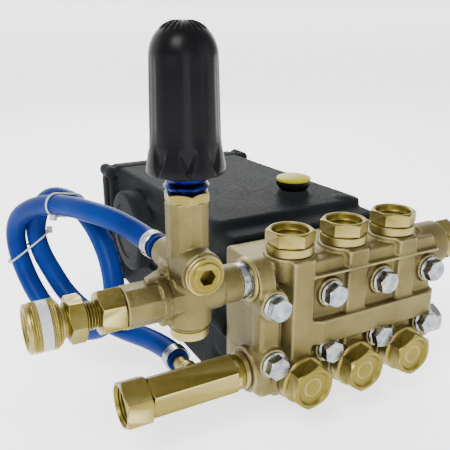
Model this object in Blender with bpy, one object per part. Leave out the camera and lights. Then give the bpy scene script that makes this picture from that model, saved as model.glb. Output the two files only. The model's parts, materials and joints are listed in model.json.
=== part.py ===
"""Triplex plunger pump with unloader valve, bypass hose, inlet fitting and quick coupler.

Run with: blender --background --python part.py
X runs along the crankshaft, -Y faces the valve manifold, +Z is up. The origin is the
centre of the crankcase base. Shapes are drawn in millimetres and stored in metres.
"""
import math

import bmesh
import bpy
from mathutils import Matrix, Vector

MM = 0.001
GAP = 0.3                        # clearance kept between pieces that touch

# Castings whose many crossing bores need the MANIFOLD Boolean solver
CROWDED = ("manifold", "crankcase", "inlet_adaptor", "unloader_body")

# Driving dimensions
PITCH = 40.0                     # cylinder spacing
HALF_WIDTH = 62.0                # crankcase half width
CASE_FRONT, CASE_REAR, CASE_TOP = -90.0, 113.0, 119.5
NECK_FRONT, NECK_TOP = -110.0, 114.5
WALL = 8.0
FLANGE_HALF, COVER_HALF, COVER_REAR = 71.0, 74.0, 123.0
LUGS = tuple((x, z) for x in (-70, 70) for z in (9.5, 111))
CRANK_Y, CRANK_Z, THROW = 55.0, 71.0, 6.0
ROD_LENGTH = 85.0
SHAFT_R, JOURNAL_R, PIN_R, BEARING_R = 12.0, 12.5, 12.0, 26.0
PLUNGER_R, CROSSHEAD_R = 9.0, 13.0
HEAD_BACK, HEAD_FRONT, HEAD_BOTTOM, HEAD_TOP = NECK_FRONT - GAP, -150.0, 24.0, 112.0
BOSS_FRONT = -161.0              # front of pilasters and bolt bosses
VALVE_Y = -144.0                 # plane of top caps, galleries and unloader
DISCHARGE_Z, SUCTION_Z, LOWER_CAP_Z = 102.5, 42.5, 37.3
BORE_R, GALLERY_R = 10.5, 6.5
CAP_FLATS, BOLT_FLATS, FITTING_FLATS = 26.0, 13.0, 22.0
BOLT_X, BOLT_Z = (-60.0, -20.0, 20.0, 60.0), (90.0, 52.2)
UNLOADER_X, OUTLET_Z, BYPASS_Z, FRONT_PLUG_Z = -106.5, 102.0, 119.0, 120.5
STEM_R, STEM_BORE_R = 11.4, 8.2
BARB_TURN = math.radians(7.5)    # upper barb swings this far toward -X
HOSE_R = 7.0
COUPLER_BORE_R = 6.8
LOWER_BARB_X = -102.0

CYLINDERS = (-PITCH, 0.0, PITCH)
CRANK_ANGLES = tuple(math.radians(a) for a in (0.0, 120.0, 240.0))

# Hose centreline, from the unloader barb round one and a half loops to the inlet barb
HOSE_ROUTE = (
    (-110.7, -112.3, 119), (-112.4, -99, 119.8), (-118, -86, 123.5), (-126, -72, 127.2),
    (-135, -57, 129), (-143, -39, 128.5), (-152, -20, 126), (-161, -2, 120),
    (-168, 13, 110), (-171, 20, 97), (-171, 19, 83), (-169, 12, 70), (-165, 1, 56),
    (-159, -14, 45), (-150, -33, 40), (-141, -52, 43), (-134, -66, 52), (-129, -72, 66),
    (-126, -68, 80), (-125, -57, 95), (-127, -43, 109), (-131, -28, 119),
    (-137, -13, 125), (-145, 2, 125), (-151, 12, 118), (-155, 17, 107), (-157, 18, 94),
    (-155, 14, 80), (-150, 6, 66), (-144, -5, 53), (-136, -21, 44), (-127, -39, 41),
    (-118, -60, 41), (-108, -82, 42), (-102.6, -101, 42.5), (-102, -117, 42.5))

TURNS = {"Z": Matrix.Identity(4),
         "X": Matrix.Rotation(math.pi / 2, 4, "Y"),
         "-X": Matrix.Rotation(-math.pi / 2, 4, "Y"),
         "Y": Matrix.Rotation(-math.pi / 2, 4, "X"),
         "-Y": Matrix.Rotation(math.pi / 2, 4, "X")}
BARB_AXIS = Matrix.Rotation(BARB_TURN, 4, "Z") @ TURNS["Y"]


def clear_scene():
    for obj in list(bpy.data.objects):
        bpy.data.objects.remove(obj)


def finish(name, colour, roughness, metallic):
    """One Principled material."""
    mat = bpy.data.materials.new(name)
    mat.use_nodes = True
    shader = mat.node_tree.nodes["Principled BSDF"]
    shader.inputs["Base Color"].default_value = (*colour, 1.0)
    shader.inputs["Roughness"].default_value = roughness
    shader.inputs["Metallic"].default_value = metallic
    return mat


def make_finishes():
    return {
        "cast_brass": finish("cast_brass", (0.42, 0.32, 0.17), 0.45, 1.0),
        "machined_brass": finish("machined_brass", (0.60, 0.45, 0.18), 0.25, 1.0),
        "case_paint": finish("case_paint", (0.03, 0.032, 0.035), 0.5, 0.0),
        "zinc": finish("zinc", (0.62, 0.65, 0.70), 0.3, 1.0),
        "steel": finish("steel", (0.50, 0.50, 0.50), 0.3, 1.0),
        "ceramic": finish("ceramic", (0.85, 0.84, 0.78), 0.2, 0.0),
        "black_plastic": finish("black_plastic", (0.012, 0.012, 0.014), 0.35, 0.0),
        "yellow_plastic": finish("yellow_plastic", (0.80, 0.75, 0.05), 0.35, 0.0),
        "clear_plastic": finish("clear_plastic", (0.60, 0.45, 0.20), 0.1, 0.0),
        "blue_anodised": finish("blue_anodised", (0.05, 0.15, 0.55), 0.3, 1.0),
        "rubber": finish("rubber", (0.02, 0.02, 0.02), 0.7, 0.0),
        "blue_hose": finish("blue_hose", (0.02, 0.10, 0.45), 0.4, 0.0),
    }


def turned(profile, centre, axis, steps=20, hollow=False):
    """Body of revolution from (distance along axis, radius) points; hollow closes a ring."""
    bm = bmesh.new()
    verts = [bm.verts.new((radius, 0.0, along)) for along, radius in profile]
    edges = [bm.edges.new(pair) for pair in zip(verts, verts[1:])]
    if hollow:
        edges.append(bm.edges.new((verts[-1], verts[0])))
    bmesh.ops.spin(bm, geom=verts + edges, cent=(0, 0, 0), axis=(0, 0, 1),
                   angle=2 * math.pi, steps=steps)
    bmesh.ops.remove_doubles(bm, verts=bm.verts, dist=0.001)
    return placed(bm, centre, axis)


def rod(low, high, radius, centre, axis, steps=20):
    """Plain cylinder between two distances along an axis."""
    return turned([(low, 0.0), (low, radius), (high, radius), (high, 0.0)],
                  centre, axis, steps)


def prism(outline, low, high, centre, axis):
    """Outline in the axis's own plane, extruded from low to high."""
    bm = bmesh.new()
    face = bm.faces.new([bm.verts.new((x, y, low)) for x, y in outline])
    top = bmesh.ops.extrude_face_region(bm, geom=[face])["geom"]
    moved = [item for item in top if isinstance(item, bmesh.types.BMVert)]
    bmesh.ops.translate(bm, verts=moved, vec=(0, 0, high - low))
    return placed(bm, centre, axis)


def hexagon(flats, low, high, centre, axis, turn=0.0):
    """Hexagon bar; at turn 0 a corner points along the outline's first direction."""
    corner = flats / 2 / math.cos(math.radians(30))
    angles = [math.radians(60 * k + turn) for k in range(6)]
    outline = [(corner * math.cos(a), corner * math.sin(a)) for a in angles]
    return prism(outline, low, high, centre, axis)


def block(low, high, bevel=0.0, only=None, segments=2):
    """Box between two corners; only= keeps the bevel to edges along one axis."""
    bm = bmesh.new()
    low, high = Vector(low), Vector(high)
    size = high - low
    bmesh.ops.create_cube(bm, size=1.0)
    bmesh.ops.scale(bm, verts=bm.verts, vec=size)
    bmesh.ops.translate(bm, verts=bm.verts, vec=(low + high) / 2)
    if bevel:
        edges = list(bm.edges)
        if only is not None:
            edges = [e for e in edges
                     if abs((e.verts[0].co - e.verts[1].co)[only]) > 0.5 * size[only]]
        bmesh.ops.bevel(bm, geom=edges, offset=bevel, segments=segments, profile=0.5,
                        affect="EDGES")
    return bm


def placed(bm, centre, axis):
    turn = TURNS[axis] if isinstance(axis, str) else axis
    bmesh.ops.transform(bm, matrix=Matrix.Translation(Vector(centre)) @ turn,
                        verts=bm.verts)
    return bm


def to_object(name, bm, mat, origin=(0, 0, 0)):
    """Turn a shape into an object in metres with its own origin."""
    bmesh.ops.recalc_face_normals(bm, faces=bm.faces)
    bmesh.ops.translate(bm, verts=bm.verts, vec=-Vector(origin))
    bmesh.ops.scale(bm, verts=bm.verts, vec=(MM, MM, MM))
    mesh = bpy.data.meshes.new(name)
    bm.to_mesh(mesh)
    bm.free()
    mesh.materials.append(mat)
    mesh.shade_smooth()
    mesh.set_sharp_from_angle(angle=math.radians(35))
    obj = bpy.data.objects.new(name, mesh)
    obj.location = Vector(origin) * MM
    bpy.context.collection.objects.link(obj)
    return obj


def combine(target, shapes, operation):
    """Join or cut shapes with Booleans; the tool bodies stay as hidden guides."""
    for number, shape in enumerate(shapes):
        name = f"{target.name}_{operation.lower()}_{number}"
        tool = to_object(name, shape, target.data.materials[0])
        tool.hide_render = True
        tool.display_type = "WIRE"
        step = target.modifiers.new(name, "BOOLEAN")
        step.operation = operation
        step.solver = "MANIFOLD" if target.name in CROWDED else "EXACT"
        step.object = tool


def join(target, *shapes):
    combine(target, shapes, "UNION")


def cut(target, *shapes):
    combine(target, shapes, "DIFFERENCE")


# Power end

def add_crankcase(mats):
    case = to_object("crankcase", block((-HALF_WIDTH, CASE_FRONT, 0),
                                        (HALF_WIDTH, CASE_REAR - 1, CASE_TOP), 7, only=2),
                     mats["case_paint"])
    join(case,
         block((-HALF_WIDTH + 0.4, NECK_FRONT, 20), (HALF_WIDTH - 0.4, -86, NECK_TOP), 4,
               only=1),
         block((-FLANGE_HALF, CASE_REAR - 6, 1), (FLANGE_HALF, CASE_REAR, 116.5), 12,
               only=1, segments=3),
         block((-HALF_WIDTH - 2, CASE_REAR - 12, 7), (HALF_WIDTH + 2, CASE_REAR - 9.5, 112)),
         *[rod(CASE_REAR - 9, CASE_REAR - 0.2, 5.5, (x, 0, z), "Y", 16) for x, z in LUGS],
         *[rod(NECK_FRONT + 0.2, -96, 8, (x, 0, z), "Y", 16)
           for x in (BOLT_X[0], BOLT_X[-1]) for z in BOLT_Z],
         rod(CASE_TOP - 3, CASE_TOP + 4.5, 11.5, (22, -56, 0), "Z"))
    cavity_x = HALF_WIDTH - WALL
    cut(case, block((-cavity_x, -82, 9), (cavity_x, CASE_REAR + 10, 111)))
    join(case,
         block((-cavity_x - 1, -83, 52), (cavity_x + 1, -50, 90)),
         *[rod(low, high, 31, (0, CRANK_Y, CRANK_Z), "X")
           for low, high in ((-55, -47), (47, 55))])
    cut(case,
        *[rod(-115, -45, CROSSHEAD_R + 0.45, (x, 0, CRANK_Z), "Y") for x in CYLINDERS],
        rod(-70, 70, BEARING_R + GAP, (0, CRANK_Y, CRANK_Z), "X", 32),
        *[rod(-115, -97, 4.2, (x, 0, z), "Y", 8) for x in BOLT_X for z in BOLT_Z],
        rod(100, 130, 8.4, (22, -56, 0), "Z", 16),
        *[rod(-1, 6, 3.4, (x, y, 0), "Z", 8) for x in (-46, 46) for y in (-70, 70)])


def add_rear_cover(mats):
    face = CASE_REAR + GAP
    cover = to_object("rear_cover", block((-COVER_HALF, face, 1.5),
                                          (COVER_HALF, COVER_REAR, 115.5), 14, only=1,
                                          segments=3), mats["case_paint"])
    join(cover, *[rod(face + 0.2, COVER_REAR + 2, 5.5, (x, 0, z), "Y", 16) for x, z in LUGS])
    cut(cover,
        rod(80, 130, 11.4, (0, 0, 66), "Y"),
        rod(80, 130, 6.4, (0, 0, 18), "Y", 16))
    out = COVER_REAR + 0.4
    to_object("sight_glass", turned([(out - 8, 0), (out - 8, 11), (out, 11), (out, 14),
                                     (out + 4.6, 13.2), (out + 4.6, 9), (out + 3.2, 8),
                                     (out + 3.2, 0)],
                                    (0, 0, 66), "Y"), mats["clear_plastic"])
    plug = to_object("oil_drain_plug", turned([(out - 10, 0), (out - 10, 6), (out, 6),
                                               (out, 10), (out + 1.6, 10), (out + 1.6, 0)],
                                              (0, 0, 18), "Y", 16), mats["zinc"])
    join(plug, hexagon(15, out + 1.1, out + 6, (0, 0, 18), "Y"))


def add_bearing_side(mats, side, name):
    """Bearing and its cover on one side; side is -1 for left, 1 for right."""
    axis = "X" if side > 0 else "-X"
    centre = (0, CRANK_Y, CRANK_Z)
    to_object(f"{name}_bearing",
              turned([(50.2, JOURNAL_R + GAP), (50.2, BEARING_R), (60.5, BEARING_R),
                      (60.5, JOURNAL_R + GAP)], centre, axis, 32, hollow=True),
              mats["steel"])
    if side < 0:
        outline = [(60.9, 0), (60.9, 25.8), (62.3, 25.8), (62.3, 35), (74.5, 35),
                   (76.5, 33), (76.5, 0)]
        to_object("left_bearing_cover", turned(outline, centre, axis, 32),
                  mats["case_paint"])
        return
    outline = [(60.9, 16), (60.9, 25.8), (62.3, 25.8), (62.3, 35), (70, 35), (71.5, 33),
               (71.5, 18.3), (62.8, 18.3), (62.8, 16)]
    to_object("right_bearing_cover", turned(outline, centre, axis, 32, hollow=True),
              mats["case_paint"])
    to_object("shaft_oil_seal",
              turned([(63.2, SHAFT_R + GAP), (63.2, 18), (71, 18), (71, SHAFT_R + GAP)],
                     centre, axis, 24, hollow=True), mats["rubber"])


def add_crankshaft(mats):
    """Shaft with three pins 120 degrees apart between round webs."""
    centre = (0, CRANK_Y, CRANK_Z)
    shaft = to_object("crankshaft",
                      turned([(-60.4, 0), (-60.4, JOURNAL_R - 1), (-59.4, JOURNAL_R),
                              (-46.5, JOURNAL_R), (-46.5, 0)], centre, "X"),
                      mats["steel"], centre)
    webs = ((-49.5, -45.8), (-34.2, -5.8), (5.8, 34.2), (45.8, 49.5))
    pins = [rod(x - 6.5, x + 6.5, PIN_R, pin_centre(angle), "X")
            for x, angle in zip(CYLINDERS, CRANK_ANGLES)]
    join(shaft,
         turned([(46.5, 0), (46.5, JOURNAL_R), (61.5, JOURNAL_R), (62.5, SHAFT_R),
                 (109, SHAFT_R), (110, SHAFT_R - 1), (110, 0)], centre, "X"),
         *[rod(low, high, 21.5, centre, "X") for low, high in webs], *pins)
    cut(shaft, block((84, CRANK_Y - 4, CRANK_Z + 8), (107, CRANK_Y + 4, CRANK_Z + 14)))


def pin_centre(angle):
    return (0, CRANK_Y + THROW * math.cos(angle), CRANK_Z + THROW * math.sin(angle))


def add_running_gear(mats, number, x, angle):
    """Connecting rod, crosshead with its ceramic plunger, and the plunger seal."""
    _, pin_y, pin_z = pin_centre(angle)
    big_end = (x, pin_y, pin_z)
    link = to_object(f"connecting_rod_{number}",
                     turned([(-5.5, PIN_R + 0.4), (-5.5, 18), (5.5, 18), (5.5, PIN_R + 0.4)],
                            big_end, "X", hollow=True), mats["steel"], big_end)
    end_y = pin_y - ROD_LENGTH
    join(link, block((x - 4, end_y, pin_z - 5), (x + 4, pin_y - 15, pin_z + 5)),
         rod(-5, 5, 7, (x, end_y, pin_z), "X", 16))
    line = (x, 0, CRANK_Z)
    to_object(f"plunger_{number}",
              turned([(-139, 0), (-139, PLUNGER_R - 0.5), (-138.5, PLUNGER_R),
                      (-78, PLUNGER_R), (-78, CROSSHEAD_R), (-50, CROSSHEAD_R), (-50, 0)],
                     line, "Y"), mats["ceramic"], (x, -78, CRANK_Z))
    to_object(f"plunger_seal_{number}",
              turned([(-119, PLUNGER_R + 0.3), (-119, 12.6), (HEAD_BACK - 0.5, 12.6),
                      (HEAD_BACK - 0.5, PLUNGER_R + 0.3)], line, "Y", hollow=True),
              mats["rubber"])


# Fluid end

def add_manifold(mats):
    head = to_object("manifold", block((-66, HEAD_FRONT, HEAD_BOTTOM),
                                       (66.5, HEAD_BACK, HEAD_TOP), 2.5), mats["cast_brass"])
    pilasters = [prism([(x - 12, 3), (x - 7, BOSS_FRONT - HEAD_FRONT),
                        (x + 7, BOSS_FRONT - HEAD_FRONT), (x + 12, 3)],
                       HEAD_BOTTOM + 1, HEAD_TOP + 2, (0, HEAD_FRONT, 0), "Z")
                 for x in CYLINDERS]
    bosses = [rod(-HEAD_FRONT - 2, -BOSS_FRONT, 9, (x, 0, z), "-Y", 12)
              for x in BOLT_X for z in BOLT_Z]
    join(head, *pilasters,
         block((-44, BOSS_FRONT - 3, 56), (67, -148, 74), 3), *bosses,
         *[rod(100, 114.8, 15.2, (x, VALVE_Y, 0), "Z", 16) for x in CYLINDERS],
         *[rod(145, 158.4, 16.5, (x, 0, LOWER_CAP_Z), "-Y", 16) for x in CYLINDERS],
         rod(-69, -60, 15, (0, VALVE_Y, DISCHARGE_Z - 2), "X", 16),
         rod(60, 80, 15, (0, VALVE_Y, DISCHARGE_Z - 3), "X", 16),
         rod(-71.2, -60, 14.5, (0, VALVE_Y, SUCTION_Z), "X", 16),
         rod(60, 72, 14, (0, VALVE_Y, SUCTION_Z), "X", 16))
    cut(head,
        *[rod(158.4, 170, 16.3, (x, 0, LOWER_CAP_Z), "-Y", 16) for x in CYLINDERS],
        *[rod(161, 170, 8.7, (x, 0, BOLT_Z[1]), "-Y", 12) for x in BOLT_X],
        *[rod(60, 118, BORE_R, (x, VALVE_Y, 0), "Z", 16) for x in CYLINDERS],
        *[rod(100, 142, PLUNGER_R + 0.6, (x, 0, CRANK_Z), "-Y", 16) for x in CYLINDERS],
        *[rod(100, 119.5, 12.9, (x, 0, CRANK_Z), "-Y", 16) for x in CYLINDERS],
        *[rod(126, 162, BORE_R, (x, 0, LOWER_CAP_Z), "-Y", 16) for x in CYLINDERS],
        *[rod(36, 63, 7.5, (x, -137, 0), "Z", 10) for x in CYLINDERS],
        rod(-70, 83, GALLERY_R, (0, VALVE_Y, DISCHARGE_Z), "X", 12),
        rod(-75, 75, GALLERY_R, (0, VALVE_Y, SUCTION_Z - 3), "X", 12),
        *[rod(100, 165, 4.2, (x, 0, z), "-Y", 8) for x in BOLT_X for z in BOLT_Z])


def add_caps(mats, number, x, turn):
    """Valve caps and the two valves they close in over one cylinder."""
    top = (x, VALVE_Y, 0)
    cap = to_object(f"top_valve_cap_{number}",
                    turned([(107, 0), (107, 10.1), (115.1, 10.1), (115.1, 14.6),
                            (121.7, 14.6), (121.7, 0)], top, "Z"), mats["machined_brass"])
    join(cap, hexagon(CAP_FLATS, 121.2, 129, top, "Z", 30))
    cut(cap, rod(124, 132, 11.4, top, "Z"))
    low = (x, 0, LOWER_CAP_Z)
    cap = to_object(f"bottom_valve_cap_{number}",
                    turned([(151, 0), (151, 10.1), (158.7, 10.1), (158.7, 15.5),
                            (166.5, 15.5), (166.5, 0)], low, "-Y"), mats["machined_brass"])
    join(cap, hexagon(CAP_FLATS, 166, 175.4, low, "-Y", 30 + turn))
    cut(cap, rod(173.9, 178, 10.75, low, "-Y"))
    valve = [(0, 0), (0, 9.4), (3, 9.4), (3, 4.5), (9, 4.5), (9, 0)]
    to_object(f"discharge_valve_{number}", turned(valve, (x, VALVE_Y, 91), "Z", 16),
              mats["steel"], (x, VALVE_Y, 91))
    to_object(f"suction_valve_{number}",
              turned(valve, (x, -137, LOWER_CAP_Z), "-Y", 16), mats["steel"],
              (x, -137, LOWER_CAP_Z))


def add_head_bolt(mats, number, x, z):
    centre = (x, 0, z)
    bolt = to_object(f"head_bolt_{number}",
                     turned([(98, 0), (98, 3.6), (161.3, 3.6), (161.3, 8), (162.9, 8),
                             (162.9, 0)], centre, "-Y", 10), mats["zinc"])
    join(bolt, hexagon(BOLT_FLATS, 162.6, 168, centre, "-Y", 15 * number))


def add_side_fittings(mats):
    """Right-hand gallery plugs and the nipple to the unloader."""
    gallery = (0, VALVE_Y, DISCHARGE_Z)
    boss = (0, VALVE_Y, DISCHARGE_Z - 3)
    plug = to_object("discharge_plug", rod(62, 81, 6.1, gallery, "X", 16),
                     mats["machined_brass"])
    join(plug, hexagon(CAP_FLATS, 80.3, 92, boss, "X"))
    low = (0, VALVE_Y, SUCTION_Z - 3)
    plug = to_object("inlet_plug", rod(62, 74, 6.1, low, "X", 16), mats["zinc"])
    join(plug, hexagon(19, 72.3, 88, low, "X"))
    to_object("discharge_nipple",
                       turned([(-77, 4), (-77, 10.9), (-69.3, 10.9), (-69.3, 6.1),
                               (-54, 6.1), (-54, 4)], gallery, "X", hollow=True),
                       mats["zinc"])


# Unloader valve and quick coupler

def add_unloader(mats):
    stem = (UNLOADER_X, VALVE_Y, 0)
    front = (UNLOADER_X, 0, FRONT_PLUG_Z)
    bypass = (UNLOADER_X, VALVE_Y, BYPASS_Z)
    side = (0, VALVE_Y, OUTLET_Z)
    body = to_object("unloader_body", rod(84, 155, STEM_R, stem, "Z"), mats["cast_brass"])
    join(body, hexagon(21.5, 154.6, 161, stem, "Z", 40),
         rod(144, 165, 12, front, "-Y"),
         rod(-145, UNLOADER_X, STEM_R, side, "X"),
         rod(UNLOADER_X, -77.3, 11, (0, VALVE_Y, DISCHARGE_Z), "X"),
         rod(4, 20, 8, bypass, BARB_AXIS, 16))
    cut(body, rod(70, 170, STEM_BORE_R, stem, "Z"),
        rod(-150, -74, 4.5, side, "X", 16),
        rod(144, 172, 6.5, front, "-Y", 16),
        rod(0, 24, 3.5, bypass, BARB_AXIS, 12))
    to_object("unloader_bottom_cap",
              turned([(77, 0), (77, 10), (78, 10.9), (83.7, 10.9), (83.7, 7.9), (89, 7.9),
                      (89, 0)], stem, "Z"), mats["machined_brass"])
    plug = to_object("unloader_front_plug",
                     turned([(157, 0), (157, 6.1), (165.3, 6.1), (165.3, 10), (167.4, 10),
                             (168, 9.2), (168, 0)], front, "-Y"), mats["machined_brass"])
    cut(plug, hexagon(8, 162, 172, front, "-Y"))
    to_object("unloader_piston",
              turned([(92, 0), (92, 5), (97, 5), (97, 3), (130, 3), (130, 7.8), (142, 7.8),
                      (142, 3.5), (194, 3.5), (194, 0)], stem, "Z", 16), mats["steel"],
              (UNLOADER_X, VALVE_Y, 130))
    to_object("adjust_sleeve",
              turned([(147, 4.5), (147, 7.9), (161.3, 7.9), (161.3, 11.9), (204, 11.9),
                      (204, 4.5)], stem, "Z", hollow=True), mats["blue_anodised"])
    to_object("adjust_knob",
              turned([(240, 0), (236, 9), (208, 12.3), (171, 12.4), (171, 19.6),
                      (172.2, 20.5), (178, 20.2), (187, 18.3), (227, 17.2), (233, 16.2),
                      (239.5, 12.6), (243.5, 8), (245.2, 3), (245.2, 0)],
                     stem, "Z", 32), mats["black_plastic"], (UNLOADER_X, VALVE_Y, 206))


def add_outlet(mats):
    side = (0, VALVE_Y, OUTLET_Z)
    piece = to_object("outlet_adaptor", rod(-165.5, -158, 7.6, side, "X"),
                      mats["machined_brass"])
    join(piece, hexagon(FITTING_FLATS, -158.6, -145.3, side, "X"))
    cut(piece, rod(-170, -135, 4.5, side, "X", 16))
    body = to_object("coupler_body",
                     turned([(-192.5, COUPLER_BORE_R), (-192.5, 8.7), (-191.5, 9.2),
                             (-172, 9.2), (-172, COUPLER_BORE_R)], side, "X", hollow=True),
                     mats["machined_brass"])
    join(body, hexagon(FITTING_FLATS, -174.5, -165.8, side, "X", 30))
    cut(body, rod(-180, -160, COUPLER_BORE_R, side, "X"))
    to_object("coupler_sleeve",
              turned([(-194.5, 9.6), (-194.5, 12.3), (-193.8, 13), (-178.7, 13),
                      (-178, 12.3), (-178, 9.6)], side, "X", hollow=True),
              mats["machined_brass"], (-186, VALVE_Y, OUTLET_Z))


def add_inlet(mats):
    side = (0, VALVE_Y, SUCTION_Z)
    bar = to_object("inlet_adaptor",
                    turned([(-141, 0), (-141, 10.9), (-138.6, 10.9), (-138.6, 9.6),
                            (-133, 9.6), (-133, 0)], side, "X"), mats["machined_brass"])
    join(bar, hexagon(FITTING_FLATS, -133.7, -79.5, side, "X"),
         rod(-80, -71.5, 11.3, side, "X"))
    cut(bar, rod(-145, -66, 7.5, side, "X"),
        rod(-132.5, -120, 8, (LOWER_BARB_X, 0, SUCTION_Z), "Y", 16),
        rod(-140, -120, 3.5, (LOWER_BARB_X, 0, SUCTION_Z), "Y", 12))
    nut = to_object("inlet_swivel_nut", hexagon(25.5, -149.5, -134, side, "X", 0),
                    mats["machined_brass"], (-141, VALVE_Y, SUCTION_Z))
    cut(nut, rod(-155, -138.2, 11.2, side, "X"), rod(-140, -130, 9.9, side, "X"))


def add_hose(mats):
    """Bypass hose with a barb and a crimped clamp at each end."""
    upper = (UNLOADER_X, VALVE_Y, BYPASS_Z)
    lower = (LOWER_BARB_X, VALVE_Y, SUCTION_Z)
    barb = [(0, 0), (0, 6.6), (5, 6.6), (5, 4.6), (11, 4.6), (11, 0)]
    to_object("upper_hose_barb", turned([(h + 20.4, r) for h, r in barb], upper,
                                        BARB_AXIS, 16), mats["machined_brass"])
    to_object("lower_hose_barb", turned([(h + 11.8, r) for h, r in barb[:-2]]
                                        + [(26.6, 4.6), (26.6, 0)], lower, "Y", 16),
              mats["machined_brass"])
    ring = [(0, HOSE_R + 0.7), (0, HOSE_R + 1.8), (8, HOSE_R + 1.8), (8, HOSE_R + 0.7)]
    to_object("upper_hose_clamp", turned([(h + 34, r) for h, r in ring], upper, BARB_AXIS,
                                         20, hollow=True), mats["zinc"])
    to_object("lower_hose_clamp", turned([(h + 28, r) for h, r in ring], lower, "Y", 20,
                                         hollow=True), mats["zinc"])
    curve = bpy.data.curves.new("bypass_hose", "CURVE")
    curve.dimensions = "3D"
    curve.bevel_depth = HOSE_R * MM
    curve.bevel_resolution = 2
    curve.use_fill_caps = True
    points = smooth_route(HOSE_ROUTE, 2)
    line = curve.splines.new("POLY")
    line.points.add(len(points) - 1)
    for spot, point in zip(line.points, points):
        spot.co = (*(point * MM), 1.0)
    curve.materials.append(mats["blue_hose"])
    bpy.context.collection.objects.link(bpy.data.objects.new("bypass_hose", curve))


def smooth_route(route, steps):
    """Points along a Catmull-Rom curve through the route."""
    ends = [Vector(p) for p in route]
    ends = [2 * ends[0] - ends[1]] + ends + [2 * ends[-1] - ends[-2]]
    points = []
    for a, b, c, d in zip(ends, ends[1:], ends[2:], ends[3:]):
        for k in range(steps):
            t = k / steps
            points.append(0.5 * (2 * b + (c - a) * t + (2 * a - 5 * b + 4 * c - d) * t ** 2
                                 + (3 * b - a - 3 * c + d) * t ** 3))
    points.append(ends[-2])
    return points


def add_oil_cap(mats):
    spot = (22, -56, 0)
    to_object("oil_cap",
              turned([(104, 0), (104, 7.8), (124.3, 7.8), (124.3, 13), (131, 13),
                      (132.2, 11), (133, 6), (133, 0)], spot, "Z"),
              mats["yellow_plastic"], (22, -56, 124))


def main():
    clear_scene()
    mats = make_finishes()
    add_crankcase(mats)
    add_rear_cover(mats)
    add_bearing_side(mats, -1, "left")
    add_bearing_side(mats, 1, "right")
    add_crankshaft(mats)
    add_manifold(mats)
    for number, (x, angle, turn) in enumerate(zip(CYLINDERS, CRANK_ANGLES, (-12, -7, 0)), 1):
        add_running_gear(mats, number, x, angle)
        add_caps(mats, number, x, turn)
    spots = [(x, z) for z in BOLT_Z for x in BOLT_X]
    for number, (x, z) in enumerate(spots, 1):
        add_head_bolt(mats, number, x, z)
    add_side_fittings(mats)
    add_unloader(mats)
    add_outlet(mats)
    add_inlet(mats)
    add_hose(mats)
    add_oil_cap(mats)


main()
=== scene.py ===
import json
import math

import bpy
from mathutils import Matrix, Vector


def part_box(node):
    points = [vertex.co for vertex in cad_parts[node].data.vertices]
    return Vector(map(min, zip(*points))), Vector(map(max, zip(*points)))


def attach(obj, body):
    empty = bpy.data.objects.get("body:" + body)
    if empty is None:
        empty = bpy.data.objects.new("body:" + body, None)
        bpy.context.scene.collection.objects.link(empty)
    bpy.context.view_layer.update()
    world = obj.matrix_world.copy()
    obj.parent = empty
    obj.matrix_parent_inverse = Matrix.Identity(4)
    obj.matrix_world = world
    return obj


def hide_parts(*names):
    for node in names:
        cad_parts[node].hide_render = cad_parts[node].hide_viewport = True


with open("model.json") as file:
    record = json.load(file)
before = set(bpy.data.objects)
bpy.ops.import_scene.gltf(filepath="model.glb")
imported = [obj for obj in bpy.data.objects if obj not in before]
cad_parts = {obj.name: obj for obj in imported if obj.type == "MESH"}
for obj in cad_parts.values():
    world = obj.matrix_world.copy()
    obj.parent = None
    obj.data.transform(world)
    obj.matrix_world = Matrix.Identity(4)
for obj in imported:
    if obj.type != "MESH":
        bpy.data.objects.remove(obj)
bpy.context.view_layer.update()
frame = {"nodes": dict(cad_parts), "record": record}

mm = 0.001
base = "pump"  # the body that stands still

print("frame loaded")


# Camera, floor and light

camera = {"place": (-0.230, -0.4179, 0.2453), "aim": (0.4453, 0.8339, -0.3262), "lens": 47.7}
bpy.ops.object.camera_add(location=camera["place"])
cam = bpy.context.object
cam.data.lens = camera["lens"]
cam.data.clip_start = 0.01
cam.rotation_euler = Vector(camera["aim"]).to_track_quat("-Z", "Y").to_euler()
bpy.context.scene.camera = cam

lamps = (  # name, place, aim, size, watts
    ("keyLamp", (-0.75, -0.65, 1.05), (0, -0.05, 0.05), 0.5, 22),
    ("fillLamp", (0.85, -0.9, 0.45), (0, -0.05, 0.06), 0.9, 5),
    ("frontLamp", (-0.35, -1.2, 0.25), (-0.02, -0.1, 0.07), 0.5, 4.0),
    ("rimLamp", (0.35, 0.9, 0.8), (0, 0, 0.08), 0.7, 9),
)


backdrop = {"deep": 40, "stretch": 3, "sweep": ((4, 0.8), (3, 2.5), (0.8, 4), (0, 20))}


def addLamps():
    for name, place, aim, size, watts in lamps:
        bpy.ops.object.light_add(type="AREA", location=place)
        lamp = bpy.context.object
        lamp.name = name
        lamp.data.size = size
        lamp.data.energy = watts
        turn = (Vector(aim) - Vector(place)).to_track_quat("-Z", "Y")
        lamp.rotation_euler = turn.to_euler()


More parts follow.
